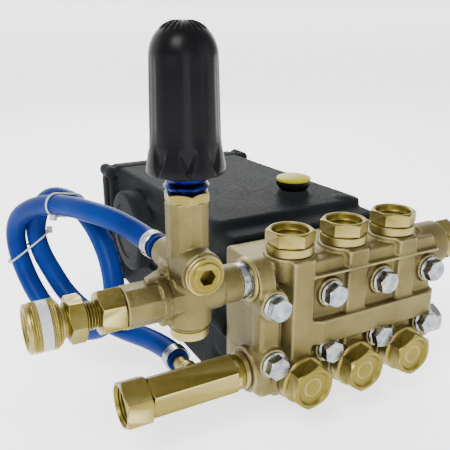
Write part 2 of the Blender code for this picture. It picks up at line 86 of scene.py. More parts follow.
def addFloor():
    # A flat floor that sweeps up far behind the object
    bpy.ops.mesh.primitive_plane_add(size=backdrop["deep"], location=(0, 0, -0.0002))
    floor = bpy.context.object
    floor.name = "floor"
    floor.scale.x = backdrop["stretch"]
    bpy.ops.object.mode_set(mode="EDIT")
    bpy.ops.mesh.select_mode(type="EDGE")
    bpy.ops.mesh.select_all(action="DESELECT")
    bpy.ops.object.mode_set(mode="OBJECT")
    for edge in floor.data.edges:
        edge.select = all(floor.data.vertices[v].co.y > 0 for v in edge.vertices)
    bpy.ops.object.mode_set(mode="EDIT")
    for out, up in backdrop["sweep"]:
        bpy.ops.mesh.extrude_region_move(TRANSFORM_OT_translate={"value": (0, out, up)})
    bpy.ops.object.mode_set(mode="OBJECT")
    paint = bpy.data.materials.new("paleFloor")
    paint.use_nodes = True
    shader = paint.node_tree.nodes["Principled BSDF"]
    shader.inputs["Base Color"].default_value = (0.9, 0.9, 0.9, 1)
    shader.inputs["Roughness"].default_value = 0.9
    shader.inputs["Specular IOR Level"].default_value = 0.1
    shader.inputs["Emission Color"].default_value = (1, 1, 1, 1)
    shader.inputs["Emission Strength"].default_value = 1.8
    floor.data.materials.append(paint)
    world = bpy.data.worlds.new("studio")
    world.use_nodes = True
    world.node_tree.nodes["Background"].inputs["Color"].default_value = (1, 1, 1, 1)
    world.node_tree.nodes["Background"].inputs["Strength"].default_value = 0.8
    bpy.context.scene.world = world


addLamps()
addFloor()
print("camera, floor and light made")


# Modelling helpers: everything is drawn in millimetres about the origin, along +Z

turns = {"Z": Matrix.Identity(4),
         "X": Matrix.Rotation(math.pi / 2, 4, "Y"),
         "-X": Matrix.Rotation(-math.pi / 2, 4, "Y"),
         "Y": Matrix.Rotation(-math.pi / 2, 4, "X"),
         "-Y": Matrix.Rotation(math.pi / 2, 4, "X")}


def pick(*pieces):
    # Select only these pieces; the first is the active one.
    bpy.ops.object.select_all(action="DESELECT")
    for piece in pieces:
        piece.select_set(True)
    bpy.context.view_layer.objects.active = pieces[0]


def applyModifiers(piece):
    pick(piece)
    for step in list(piece.modifiers):
        bpy.ops.object.modifier_apply(modifier=step.name)


def turnPiece(name, profile, steps=64, bored=False):
    # Extrude and scale a ring through (along, radius) points. bored closes it on itself.
    bpy.ops.object.select_all(action="DESELECT")
    along, radius = profile[0]
    bpy.ops.mesh.primitive_circle_add(vertices=steps, radius=radius * mm,
                                      fill_type="NOTHING" if bored else "NGON",
                                      location=(0, 0, 0))
    piece = bpy.context.object
    piece.name = name
    bpy.ops.object.mode_set(mode="EDIT")
    bpy.ops.mesh.select_all(action="SELECT")
    bpy.ops.transform.translate(value=(0, 0, along * mm))
    route = profile[1:] + profile[:1] if bored else profile[1:]
    for nextAlong, nextRadius in route:
        bpy.ops.mesh.extrude_region_move(
            TRANSFORM_OT_translate={"value": (0, 0, (nextAlong - along) * mm)})
        grow = nextRadius / radius
        if grow != 1:
            bpy.ops.transform.resize(value=(grow, grow, 1),
                                     center_override=(0, 0, nextAlong * mm))
        along, radius = nextAlong, nextRadius
    bpy.ops.mesh.select_all(action="SELECT")
    bpy.ops.mesh.remove_doubles(threshold=1e-6)
    bpy.ops.mesh.normals_make_consistent(inside=False)
    bpy.ops.object.mode_set(mode="OBJECT")
    return piece


def barPiece(name, corners, radius, low, high, turn=0):
    # Prism with that many corners, from low to high; turn is in degrees.
    bpy.ops.object.select_all(action="DESELECT")
    bpy.ops.mesh.primitive_cylinder_add(vertices=corners, radius=radius * mm,
                                        depth=(high - low) * mm,
                                        location=(0, 0, (low + high) / 2 * mm),
                                        rotation=(0, 0, math.radians(turn)))
    piece = bpy.context.object
    piece.name = name
    bpy.ops.object.transform_apply(location=True, rotation=True, scale=True)
    return piece


def boxPiece(name, low, high, bevel=0, segments=3):
    # Box between two corners with rounded edges.
    bpy.ops.object.select_all(action="DESELECT")
    low, high = Vector(low) * mm, Vector(high) * mm
    bpy.ops.mesh.primitive_cube_add(size=1, location=(low + high) / 2)
    piece = bpy.context.object
    piece.name = name
    piece.scale = high - low
    bpy.ops.object.transform_apply(location=True, rotation=True, scale=True)
    if bevel:
        bpy.ops.object.mode_set(mode="EDIT")
        bpy.ops.mesh.select_all(action="SELECT")
        bpy.ops.mesh.bevel(offset=bevel * mm, segments=segments, affect="EDGES")
        bpy.ops.object.mode_set(mode="OBJECT")
    return piece


def placePiece(piece, centre=(0, 0, 0), axis="Z", turn=0):
    # Turn about its own axis, lay it along the axis, move it there (metres) and apply.
    lay = turns[axis] if isinstance(axis, str) else axis
    spin = Matrix.Rotation(math.radians(turn), 4, "Z")
    piece.matrix_world = Matrix.Translation(Vector(centre)) @ lay @ spin
    pick(piece)
    bpy.ops.object.transform_apply(location=True, rotation=True, scale=True)
    return piece


def copyPiece(master, name, centre, axis="Z", turn=0):
    piece = master.copy()
    piece.data = master.data.copy()
    piece.name = name
    bpy.context.collection.objects.link(piece)
    return placePiece(piece, centre, axis, turn)


def dropPiece(piece):
    bpy.data.objects.remove(piece)


def boolPiece(piece, tool, way):
    # Cut or join a piece with a tool, which is then removed.
    step = piece.modifiers.new("cut", "BOOLEAN")
    step.operation = way
    step.solver = "EXACT"
    step.object = tool
    pick(piece)
    bpy.ops.object.modifier_apply(modifier=step.name)
    dropPiece(tool)
    return piece


def mergePieces(name, pieces):
    # Join shells into one object without cutting them.
    pick(*pieces)
    bpy.ops.object.join()
    bpy.context.object.name = name
    return bpy.context.object


def roundEdges(piece, width, segments=2, angle=30):
    step = piece.modifiers.new("edges", "BEVEL")
    step.width = width * mm
    step.segments = segments
    step.limit_method = "ANGLE"
    step.angle_limit = math.radians(angle)
    step.use_clamp_overlap = True
    pick(piece)
    bpy.ops.object.modifier_apply(modifier=step.name)
    return piece


def smoothPiece(piece, angle=32):
    pick(piece)
    bpy.ops.object.shade_smooth_by_angle(angle=math.radians(angle))
    step = piece.modifiers.new("normals", "WEIGHTED_NORMAL")
    step.keep_sharp = True
    bpy.ops.object.modifier_apply(modifier=step.name)
    return piece


def castPiece(piece, voxel, passes):
    # Fuse overlapping shells into one casting with soft inside and outside corners.
    fuse = piece.modifiers.new("fuse", "REMESH")
    fuse.mode = "VOXEL"
    fuse.voxel_size = voxel * mm
    ease = piece.modifiers.new("ease", "SMOOTH")
    ease.factor = 0.5
    ease.iterations = passes
    applyModifiers(piece)
    pick(piece)
    bpy.ops.object.shade_smooth()
    return piece


def chamferedHex(name, flats, low, high, bothEnds=False, turn=0):
    # Hexagon bar whose corners are turned off at its high end, or at both ends.
    corner = flats / 2 / math.cos(math.radians(30))
    bar = barPiece(name, 6, corner, low, high, turn)
    start, reach = flats / 2 - 0.2, corner + 0.3
    chamfer = (reach - start) * 0.55  # its height, for each millimetre of radius
    ring = [(low - 0.01, start), (low + chamfer, reach)] if bothEnds else [(low - 0.01, reach)]
    ring += [(high - chamfer, reach), (high + 0.01, start)]
    return boolPiece(bar, turnPiece("chamferTool", ring, 96), "INTERSECT")


def wedgePiece(name, outline, low, high):
    # Upright prism on an outline of (x, y) points
    bpy.ops.object.select_all(action="DESELECT")
    bpy.ops.mesh.primitive_circle_add(vertices=len(outline), fill_type="NGON",
                                      location=(0, 0, 0))
    piece = bpy.context.object
    piece.name = name
    for vert, (x, y) in zip(piece.data.vertices, outline):
        vert.co = (x * mm, y * mm, low * mm)
    bpy.ops.object.mode_set(mode="EDIT")
    bpy.ops.mesh.select_all(action="SELECT")
    bpy.ops.mesh.extrude_region_move(
        TRANSFORM_OT_translate={"value": (0, 0, (high - low) * mm)})
    bpy.ops.mesh.select_all(action="SELECT")
    bpy.ops.mesh.normals_make_consistent(inside=False)
    bpy.ops.object.mode_set(mode="OBJECT")
    return piece


def rodPiece(name, radius, low, high, centre, axis, steps=40):
    # Round bar laid along an axis; centre in millimetres.
    bar = turnPiece(name, [(low, radius), (high, radius)], steps)
    return placePiece(bar, Vector(centre) * mm, axis)


def cutHoles(piece, tools):
    # Drill a closed casting with several closed tools at once
    for tool in tools:
        step = piece.modifiers.new("hole", "BOOLEAN")
        step.operation = "DIFFERENCE"
        step.solver = "MANIFOLD"
        step.object = tool
        pick(piece)
        bpy.ops.object.modifier_apply(modifier=step.name)
        dropPiece(tool)
    return smoothPiece(piece, 40)


def threadProfile(low, high, crest, root, pitch):
    # (along, radius) points of a row of thread ridges
    count = max(1, round((high - low) / pitch))
    step = (high - low) / count
    points = [(low, root)]
    for k in range(count):
        start = low + k * step
        points += [(start + step * 0.42, crest), (start + step * 0.58, crest),
                   (start + step, root)]
    return points


def finishPiece(piece, node, body, slot, paint=None):
    # Give a new piece the finish for its record slot and its body, and hide the node it stands in
    # for.
    piece.data.materials.clear()
    piece.data.materials.append(finishes[paint or bySlot[slot]])
    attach(piece, body)
    if node:
        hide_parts(node)


def spot(node):
    # Low corner, high corner and centre of a node's box, in metres.
    low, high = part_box(node)
    low, high = Vector(low), Vector(high)
    return low, high, (low + high) / 2


# Materials: small helpers, then one function for each finish

finishes = {}
bySlot = {"cast_brass": "castBrass", "machined_brass": "machinedBrass",
          "case_paint": "casePaint", "zinc": "zincPlate", "steel": "groundSteel",
          "ceramic": "ceramicWhite", "black_plastic": "knobPlastic",
          "yellow_plastic": "yellowPlastic", "clear_plastic": "sightGlass",
          "blue_anodised": "anodisedBlue", "rubber": "blackRubber", "blue_hose": "hoseCover"}


def startFinish(name, colour, roughness, metallic):
    paint = bpy.data.materials.new(name)
    paint.use_nodes = True
    shader = paint.node_tree.nodes["Principled BSDF"]
    shader.inputs["Base Color"].default_value = (*colour, 1)
    shader.inputs["Roughness"].default_value = roughness
    shader.inputs["Metallic"].default_value = metallic
    finishes[name] = paint
    return paint.node_tree, shader


def addNode(tree, kind, **values):
    node = tree.nodes.new(kind)
    for key, value in values.items():
        if key in node.inputs:
            node.inputs[key].default_value = value
        else:
            setattr(node, key, value)
    return node


def grain(tree, scale, detail=4, stretch=(1, 1, 1)):
    # Noise on object coordinates, in grains per metre.
    place = addNode(tree, "ShaderNodeTexCoord")
    spread = addNode(tree, "ShaderNodeMapping")
    spread.inputs["Scale"].default_value = stretch
    noise = addNode(tree, "ShaderNodeTexNoise", Scale=scale, Detail=detail)
    tree.links.new(place.outputs["Object"], spread.inputs["Vector"])
    tree.links.new(spread.outputs["Vector"], noise.inputs["Vector"])
    return noise.outputs["Fac"]


def ramp(tree, source, stops):
    # Colour ramp from (place, colour) stops.
    node = addNode(tree, "ShaderNodeValToRGB")
    band = node.color_ramp
    while len(band.elements) < len(stops):
        band.elements.new(0.5)
    for element, (place, colour) in zip(band.elements, stops):
        element.position = place
        element.color = (*colour, 1)
    tree.links.new(source, node.inputs["Fac"])
    return node.outputs["Color"]


def spread(tree, source, low, high, fromLow=0.3, fromHigh=0.7):
    node = addNode(tree, "ShaderNodeMapRange")
    node.inputs["From Min"].default_value = fromLow
    node.inputs["From Max"].default_value = fromHigh
    node.inputs["To Min"].default_value = low
    node.inputs["To Max"].default_value = high
    tree.links.new(source, node.inputs["Value"])
    return node.outputs["Result"]


def blendColours(tree, first, second, amount, way="MIX"):
    node = addNode(tree, "ShaderNodeMix", data_type="RGBA", blend_type=way)
    for socket, value in ((node.inputs[6], first), (node.inputs[7], second),
                          (node.inputs[0], amount)):
        if isinstance(value, bpy.types.NodeSocket):
            tree.links.new(value, socket)
        elif isinstance(value, tuple):
            socket.default_value = (*value, 1)
        else:
            socket.default_value = value
    return node.outputs[2]


def addBump(tree, shader, layers):
    # Bumps stacked on each other; each layer is (height, distance in metres, strength).
    last = None
    for height, distance, strength in layers:
        bump = addNode(tree, "ShaderNodeBump", Distance=distance, Strength=strength)
        tree.links.new(height, bump.inputs["Height"])
        if last is not None:
            tree.links.new(last, bump.inputs["Normal"])
        last = bump.outputs["Normal"]
    tree.links.new(last, shader.inputs["Normal"])


def edgeWearAndHighlight(tree, low=0.5, high=0.56):
    # 0 in hollows and flats, 1 on sharp outer edges: the mask for lighter edges, partly worn metal
    # and partly a painted highlight.
    shape = addNode(tree, "ShaderNodeNewGeometry")
    return spread(tree, shape.outputs["Pointiness"], 0, 1, low, high)


def makeCastBrass():
    look = {"dark": (0.078, 0.060, 0.020), "mid": (0.128, 0.104, 0.036),
            "light": (0.170, 0.140, 0.053), "edge": (0.40, 0.34, 0.18)}
    tree, shader = startFinish("castBrass", look["mid"], 0.46, 0.85)
    cloud = grain(tree, 28, 5)
    sand = grain(tree, 900, 3)
    skin = ramp(tree, cloud, ((0.3, look["dark"]), (0.48, look["mid"]), (0.7, look["light"])))
    speck = ramp(tree, sand, ((0.3, (0.82, 0.82, 0.82)), (0.62, (1.06, 1.06, 1.06))))
    skin = blendColours(tree, skin, speck, 1.0, "MULTIPLY")
    # Sharp edges take the light edge colour: partly worn brass, partly a painted highlight.
    skin = blendColours(tree, skin, look["edge"], edgeWearAndHighlight(tree, 0.51, 0.60))
    tree.links.new(skin, shader.inputs["Base Color"])
    tree.links.new(spread(tree, sand, 0.40, 0.58), shader.inputs["Roughness"])
    addBump(tree, shader, ((sand, 0.00035, 0.45), (grain(tree, 220, 3), 0.0006, 0.25)))


def makeMachinedBrass():
    look = {"dark": (0.130, 0.100, 0.018), "light": (0.182, 0.145, 0.029),
            "edge": (0.50, 0.42, 0.18)}
    tree, shader = startFinish("machinedBrass", look["light"], 0.26, 1.0)
    cloud = grain(tree, 45, 4)
    cuts = grain(tree, 300, 2, (1, 1, 6))
    skin = ramp(tree, cloud, ((0.25, look["dark"]), (0.75, look["light"])))
    # Sharp edges take the pale edge colour: partly worn brass, partly a painted highlight.
    skin = blendColours(tree, skin, look["edge"], edgeWearAndHighlight(tree, 0.52, 0.62))
    tree.links.new(skin, shader.inputs["Base Color"])
    tree.links.new(spread(tree, cuts, 0.34, 0.48), shader.inputs["Roughness"])
    addBump(tree, shader, ((cuts, 0.0002, 0.12),))


def makeCasePaint():
    look = {"dark": (0.007, 0.0078, 0.0085), "light": (0.015, 0.0165, 0.018)}
    tree, shader = startFinish("casePaint", look["dark"], 0.5, 0.0)
    shader.inputs["Specular IOR Level"].default_value = 0.05
    shader.inputs["IOR"].default_value = 1.2
    cloud = grain(tree, 20, 4)
    orange = grain(tree, 420, 3)
    skin = ramp(tree, cloud, ((0.3, look["dark"]), (0.7, look["light"])))
    # Sharp edges of the black paint are lightened: partly wear, partly a painted highlight.
    skin = blendColours(tree, skin, (0.03, 0.032, 0.034), edgeWearAndHighlight(tree, 0.52, 0.62))
    tree.links.new(skin, shader.inputs["Base Color"])
    tree.links.new(spread(tree, orange, 0.38, 0.56), shader.inputs["Roughness"])
    addBump(tree, shader, ((orange, 0.0004, 0.35), (grain(tree, 90, 2), 0.0008, 0.15)))


def makeZinc():
    look = {"blue": (0.15, 0.17, 0.20), "warm": (0.34, 0.34, 0.335)}
    tree, shader = startFinish("zincPlate", look["blue"], 0.24, 1.0)
    cloud = grain(tree, 160, 4)
    skin = ramp(tree, cloud, ((0.35, look["blue"]), (0.65, look["warm"])))
    tree.links.new(skin, shader.inputs["Base Color"])
    tree.links.new(spread(tree, grain(tree, 500, 3), 0.14, 0.38), shader.inputs["Roughness"])
    addBump(tree, shader, ((cloud, 0.0004, 0.3),))


def makeGroundSteel():
    tree, shader = startFinish("groundSteel", (0.5, 0.5, 0.51), 0.28, 1.0)
    cuts = grain(tree, 260, 2, (1, 8, 8))
    tree.links.new(ramp(tree, cuts, ((0.3, (0.24, 0.24, 0.25)), (0.7, (0.38, 0.38, 0.38)))),
                   shader.inputs["Base Color"])
    tree.links.new(spread(tree, cuts, 0.18, 0.4), shader.inputs["Roughness"])
    addBump(tree, shader, ((cuts, 0.0001, 0.2),))


def makeKnobPlastic():
    tree, shader = startFinish("knobPlastic", (0.003, 0.003, 0.0036), 0.3, 0.0)
    shader.inputs["Specular IOR Level"].default_value = 0.3
    shader.inputs["IOR"].default_value = 1.22
    fine = grain(tree, 700, 2)
    tree.links.new(ramp(tree, grain(tree, 30, 3), ((0.3, (0.0022, 0.0022, 0.0028)),
                                                   (0.7, (0.0040, 0.0040, 0.0048)))),
                   shader.inputs["Base Color"])
    tree.links.new(spread(tree, fine, 0.27, 0.36), shader.inputs["Roughness"])
    addBump(tree, shader, ((fine, 0.00015, 0.12),))


def makeAnodisedBlue():
    tree, shader = startFinish("anodisedBlue", (0.003, 0.007, 0.08), 0.2, 1.0)
    tree.links.new(ramp(tree, grain(tree, 120, 3), ((0.3, (0.0015, 0.004, 0.05)),
                                                    (0.7, (0.004, 0.010, 0.10)))),
                   shader.inputs["Base Color"])
    tree.links.new(spread(tree, grain(tree, 500, 2), 0.18, 0.3), shader.inputs["Roughness"])


def makeYellowPlastic():
    tree, shader = startFinish("yellowPlastic", (0.31, 0.28, 0.0015), 0.35, 0.0)
    shader.inputs["Specular IOR Level"].default_value = 0.12
    fine = grain(tree, 600, 2)
    tree.links.new(ramp(tree, grain(tree, 60, 3), ((0.3, (0.29, 0.26, 0.001)),
                                                   (0.7, (0.33, 0.30, 0.002)))),
                   shader.inputs["Base Color"])
    tree.links.new(spread(tree, fine, 0.3, 0.42), shader.inputs["Roughness"])
    addBump(tree, shader, ((fine, 0.0001, 0.1),))


def makePlain(name, low, high, roughness, metallic, scale=200, bump=0.1):
    # Finishes that only need a slight variation
    tree, shader = startFinish(name, low, roughness, metallic)
    cloud = grain(tree, scale, 3)
    tree.links.new(ramp(tree, cloud, ((0.3, low), (0.7, high))), shader.inputs["Base Color"])
    tree.links.new(spread(tree, cloud, roughness * 0.8, roughness * 1.15),
                   shader.inputs["Roughness"])
    addBump(tree, shader, ((cloud, 0.0002, bump),))


def makeHoseCover():
    # Blue cover with a pale broken line along it, from the piece's own UV map
    look = {"deep": (0.0015, 0.012, 0.095), "bright": (0.003, 0.022, 0.145),
            "dash": (0.16, 0.24, 0.45), "dashes": 90.0}
    tree, shader = startFinish("hoseCover", look["bright"], 0.36, 0.0)
    shader.inputs["Specular IOR Level"].default_value = 0.15
    shader.inputs["IOR"].default_value = 1.25
    fine = grain(tree, 500, 2)
    skin = ramp(tree, grain(tree, 35, 3), ((0.3, look["deep"]), (0.7, look["bright"])))
    uv = addNode(tree, "ShaderNodeUVMap")
    split = addNode(tree, "ShaderNodeSeparateXYZ")
    tree.links.new(uv.outputs["UV"], split.inputs["Vector"])

    def near(socket, centre, half):
        node = addNode(tree, "ShaderNodeMath", operation="COMPARE")
        tree.links.new(socket, node.inputs[0])
        node.inputs[1].default_value = centre
        node.inputs[2].default_value = half
        return node.outputs[0]

    run = addNode(tree, "ShaderNodeMath", operation="MULTIPLY")
    tree.links.new(split.outputs["X"], run.inputs[0])
    run.inputs[1].default_value = look["dashes"]
    part = addNode(tree, "ShaderNodeMath", operation="FRACT")
    tree.links.new(run.outputs[0], part.inputs[0])
    both = addNode(tree, "ShaderNodeMath", operation="MULTIPLY")
    tree.links.new(near(part.outputs[0], 0.5, 0.33), both.inputs[0])
    tree.links.new(near(split.outputs["Y"], 0.30, 0.018), both.inputs[1])
    faint = addNode(tree, "ShaderNodeMath", operation="MULTIPLY")
    tree.links.new(both.outputs[0], faint.inputs[0])
    faint.inputs[1].default_value = 0.7
    skin = blendColours(tree, skin, look["dash"], faint.outputs[0])
    tree.links.new(skin, shader.inputs["Base Color"])
    tree.links.new(spread(tree, fine, 0.30, 0.42), shader.inputs["Roughness"])
    addBump(tree, shader, ((fine, 0.0001, 0.15),))


makeCastBrass()
makeMachinedBrass()
makeCasePaint()
makeZinc()
makeGroundSteel()
makeKnobPlastic()
makeAnodisedBlue()
makeYellowPlastic()
makeHoseCover()
makePlain("blackRubber", (0.006, 0.006, 0.006), (0.012, 0.012, 0.012), 0.65, 0.0)
makePlain("ceramicWhite", (0.52, 0.51, 0.47), (0.60, 0.59, 0.55), 0.15, 0.0)
makePlain("sightGlass", (0.16, 0.09, 0.02), (0.26, 0.16, 0.04), 0.08, 0.0)
makePlain("darkScrew", (0.03, 0.03, 0.032), (0.06, 0.06, 0.064), 0.35, 1.0)
makePlain("tieNylon", (0.30, 0.31, 0.31), (0.37, 0.37, 0.36), 0.4, 0.0)
makePlain("screenSteel", (0.12, 0.11, 0.11), (0.2, 0.19, 0.19), 0.45, 1.0, 900, 0.6)
print("materials made")


# Bypass hose: one smooth tube, its two crimped bands and two ties

hose = {
    "radius": 7.0, "stepsPerStretch": 7, "barbTurn": 7.5,
    "route": ((-110.7, -112.3, 119), (-112.4, -99, 119.8), (-118, -86, 123.5),
              (-126, -72, 127.2), (-135, -57, 129), (-143, -39, 128.5), (-152, -20, 126),
              (-161, -2, 120), (-168, 13, 110), (-171, 20, 97), (-171, 19, 83),
              (-169, 12, 70), (-165, 1, 56), (-159, -14, 45), (-150, -33, 40),
              (-141, -52, 43), (-134, -66, 52), (-129, -72, 66), (-126, -68, 80),
              (-125, -57, 95), (-127, -43, 109), (-131, -28, 119), (-137, -13, 125),
              (-145, 2, 125), (-151, 12, 118), (-155, 17, 107), (-157, 18, 94),
              (-155, 14, 80), (-150, 6, 66), (-144, -5, 53), (-136, -21, 44),
              (-127, -39, 41), (-118, -60, 41), (-108, -82, 42), (-102.6, -101, 42.5),
              (-102, -117, 42.5)),
}


def smoothRoute(route, steps):
    # Points along a Catmull-Rom curve through the route.
    ends = [Vector(p) for p in route]
    ends = [2 * ends[0] - ends[1]] + ends + [2 * ends[-1] - ends[-2]]
    points = []
    for a, b, c, d in zip(ends, ends[1:], ends[2:], ends[3:]):
        for k in range(steps):
            t = k / steps
            points.append(0.5 * (2 * b + (c - a) * t + (2 * a - 5 * b + 4 * c - d) * t ** 2
                                 + (3 * b - a - 3 * c + d) * t ** 3))
    points.append(ends[-2])
    return [point * mm for point in points]


def tubeAlong(name, points, radius, closed=False, sides=10):
    # Round tube along points in metres, turned into a mesh.
    curve = bpy.data.curves.new(name, "CURVE")
    curve.dimensions = "3D"
    curve.bevel_depth = radius * mm
    curve.bevel_resolution = sides
    curve.use_fill_caps = not closed
    line = curve.splines.new("POLY")
    line.points.add(len(points) - 1)
    for mark, point in zip(line.points, points):
        mark.co = (*point, 1)
    line.use_cyclic_u = closed
    piece = bpy.data.objects.new(name, curve)
    bpy.context.collection.objects.link(piece)
    pick(piece)
    bpy.ops.object.convert(target="MESH")
    piece = bpy.context.object
    bpy.ops.object.mode_set(mode="EDIT")
    bpy.ops.mesh.select_all(action="SELECT")
    bpy.ops.mesh.remove_doubles(threshold=1e-6)
    bpy.ops.object.mode_set(mode="OBJECT")
    return smoothPiece(piece, 50)


def addHose():
    points = smoothRoute(hose["route"], hose["stepsPerStretch"])
    piece = tubeAlong("bypassHose", points, hose["radius"])
    finishPiece(piece, "bypass_hose", base, "blue_hose")
    length = sum((b - a).length for a, b in zip(points, points[1:]))
    return piece, points, length


def addHoseBand(node, axis):
    # Crimped band with a pinched ear, at the node's place.
    band = {"inside": 7.15, "outside": 8.3, "width": 7.0, "ear": (6.0, 2.4, 6.4)}
    _, _, centre = spot(node)
    low, high = -band["width"] / 2, band["width"] / 2
    ring = turnPiece(node, [(low, band["inside"]), (low, band["outside"] - 0.3),
                            (low + 0.4, band["outside"]), (high - 0.4, band["outside"]),
                            (high, band["outside"] - 0.3), (high, band["inside"])], 48, True)
    wide, tall, deep = band["ear"]
    ear = boxPiece("ear", (band["outside"] - 0.6, -wide / 2, -deep / 2),
                   (band["outside"] + tall, wide / 2, deep / 2), 0.8, 2)
    ring = boolPiece(ring, ear, "UNION")
    placePiece(ring, centre, axis, 60)
    smoothPiece(ring, 35)
    finishPiece(ring, node, base, "zinc")
    ring.name = node.replace("hose_clamp", "crimpBand")
    return ring


def addHoseTie(name, first, second, across, headTurn):
    # Thin nylon tie round two strands; across is the direction that both strands run in.
    tie = {"reach": 7.7, "thick": 0.75, "head": (4.2, 3.2, 5.0)}
    first, second = Vector(first) * mm, Vector(second) * mm
    run = Vector(across).normalized()
    span = second - first
    rise = span.dot(run)
    width = (span - run * rise).length
    side = (span - run * rise) / width
    up = run.cross(side)

    def tilt(point):  # the tie leans with the two strands
        return point + run * rise * ((point - first).dot(side) / width)

    points = []
    for centre, start in ((first, 90), (first + side * width, -90)):
        for k in range(13):
            a = math.radians(start + 15 * k)
            points.append(tilt(centre + (side * math.cos(a) + up * math.sin(a))
                               * tie["reach"] * mm))
    loop = tubeAlong(name, points, tie["thick"], closed=True, sides=3)
    a = math.radians(headTurn)
    out = side * math.cos(a) + up * math.sin(a)
    half = Vector(tie["head"]) / 2
    head = boxPiece("tieHead", -half, half, 0.5, 2)
    lay = Matrix((out, run.cross(out), run)).transposed().to_4x4()
    middle = first + side * width if math.cos(a) > 0 else first
    placePiece(head, tilt(middle + out * (tie["reach"] + 1.0) * mm), lay)
    loop = mergePieces(name, [loop, head])
    finishPiece(loop, None, base, "zinc", "tieNylon")
    return loop


barbAxis = Matrix.Rotation(math.radians(hose["barbTurn"]), 4, "Z") @ turns["Y"]
bypassHose, hosePoints, hoseLength = addHose()
crimpUpper = addHoseBand("upper_hose_clamp", barbAxis)
crimpLower = addHoseBand("lower_hose_clamp", "Y")
tieTop = addHoseTie("hoseTieTop", (-149.5, -25, 127), (-134.5, -19, 123), (-0.42, 0.9, -0.1), 100)
tieSide = addHoseTie("hoseTieSide", (-171, 18.6, 80), (-156.4, 17.2, 90), (0.05, 0.1, 1), 0)
print("hose made, length", round(hoseLength, 3))


# Valve caps, bolts and plugs

caps = {"flats": 26.0, "topHexagon": 7.9, "bottomHexagon": 9.6, "bottomTurns": (-12, -7, 0),
        "boltFlats": 13.0, "boltTurn": 15, "smallPlug": 19.0}


def makeTopCap():
    # Hexagon cap with a wide round recess, top face at zero.
    cap = chamferedHex("topCap", caps["flats"], -caps["topHexagon"], 0)
    roundEdges(cap, 0.45, 2, 25)
    cap = boolPiece(cap, turnPiece("recess", [(-5.0, 8.0), (-4.4, 10.3), (-3.4, 10.9),
                                              (-0.9, 11.2), (0.5, 12.6)], 64), "DIFFERENCE")
    collar = turnPiece("collar", [(-13.9, 13.2), (-13.9, 14.3), (-13.4, 14.6), (-9.4, 14.6),
                                  (-8.9, 14.3), (-8.6, 13.5), (-8.4, 13.0), (-7.5, 12.9),
                                  (-7.5, 3)], 72)
    stub = turnPiece("stub", [(-22, 9.4), (-21, 10.1), (-13.5, 10.1)], 40)
    return smoothPiece(mergePieces("topCapMaster", [cap, collar, stub]))


def makeBottomCap():
    # Hexagon cap with a shallow dish, face at zero.
    cap = chamferedHex("bottomCap", caps["flats"], -caps["bottomHexagon"], 0)
    roundEdges(cap, 0.5, 2, 25)
    dish = turnPiece("dish", [(-1.6, 4.0), (-1.6, 9.6), (-1.2, 10.2), (0.4, 11.4)], 64)
    cap = boolPiece(cap, dish, "DIFFERENCE")
    collar = turnPiece("collar", [(-16.7, 13), (-16.7, 15.0), (-16.2, 15.4), (-10.4, 15.4),
                                  (-9.8, 15.0), (-9.3, 14.2), (-9.0, 13.2), (-9.0, 3)], 72)
    rim = turnPiece("rim", [(-1.9, 4.6), (-1.5, 5.2), (-1.4, 5.6), (-1.5, 6.0),
                            (-1.9, 6.6)], 48, True)
    stub = turnPiece("stub", [(-24.4, 9.4), (-23.4, 10.1), (-16, 10.1)], 40)
    return smoothPiece(mergePieces("bottomCapMaster", [cap, collar, rim, stub]))


def addCaps():
    top, bottom = makeTopCap(), makeBottomCap()
    for number, turn in zip((1, 2, 3), caps["bottomTurns"]):
        low, high, centre = spot(f"top_valve_cap_{number}")
        cap = copyPiece(top, f"topCap{number}", (centre.x, centre.y, high.z))
        finishPiece(cap, f"top_valve_cap_{number}", base, "machined_brass")
        low, high, centre = spot(f"bottom_valve_cap_{number}")
        cap = copyPiece(bottom, f"bottomCap{number}", (centre.x, low.y, centre.z), "-Y", turn)
        finishPiece(cap, f"bottom_valve_cap_{number}", base, "machined_brass")
    dropPiece(top)
    dropPiece(bottom)


def addBolts():
    # Flanged hexagon head bolts with a slightly crowned head.
    head = chamferedHex("boltHead", caps["boltFlats"], -5.4, 0)
    roundEdges(head, 0.3, 2, 25)
    flange = turnPiece("flange", [(-6.8, 6.5), (-6.8, 7.8), (-6.4, 8.1), (-5.9, 8.0),
                                  (-5.2, 6.9), (-5.0, 5.5)], 48)
    crown = turnPiece("crown", [(-0.3, 5.2), (0.02, 4.9), (0.1, 3.5), (0.1, 0.8)], 40)
    shank = turnPiece("shank", [(-70, 3.1), (-69.4, 3.6), (-6.5, 3.6)], 24)
    master = smoothPiece(mergePieces("boltMaster", [head, flange, crown, shank]), 28)
    for number in range(1, 9):
        low, high, centre = spot(f"head_bolt_{number}")
        bolt = copyPiece(master, f"headBolt{number}", (centre.x, low.y, centre.z), "-Y",
                         30 + caps["boltTurn"] * number)
        finishPiece(bolt, f"head_bolt_{number}", base, "zinc")
    dropPiece(master)


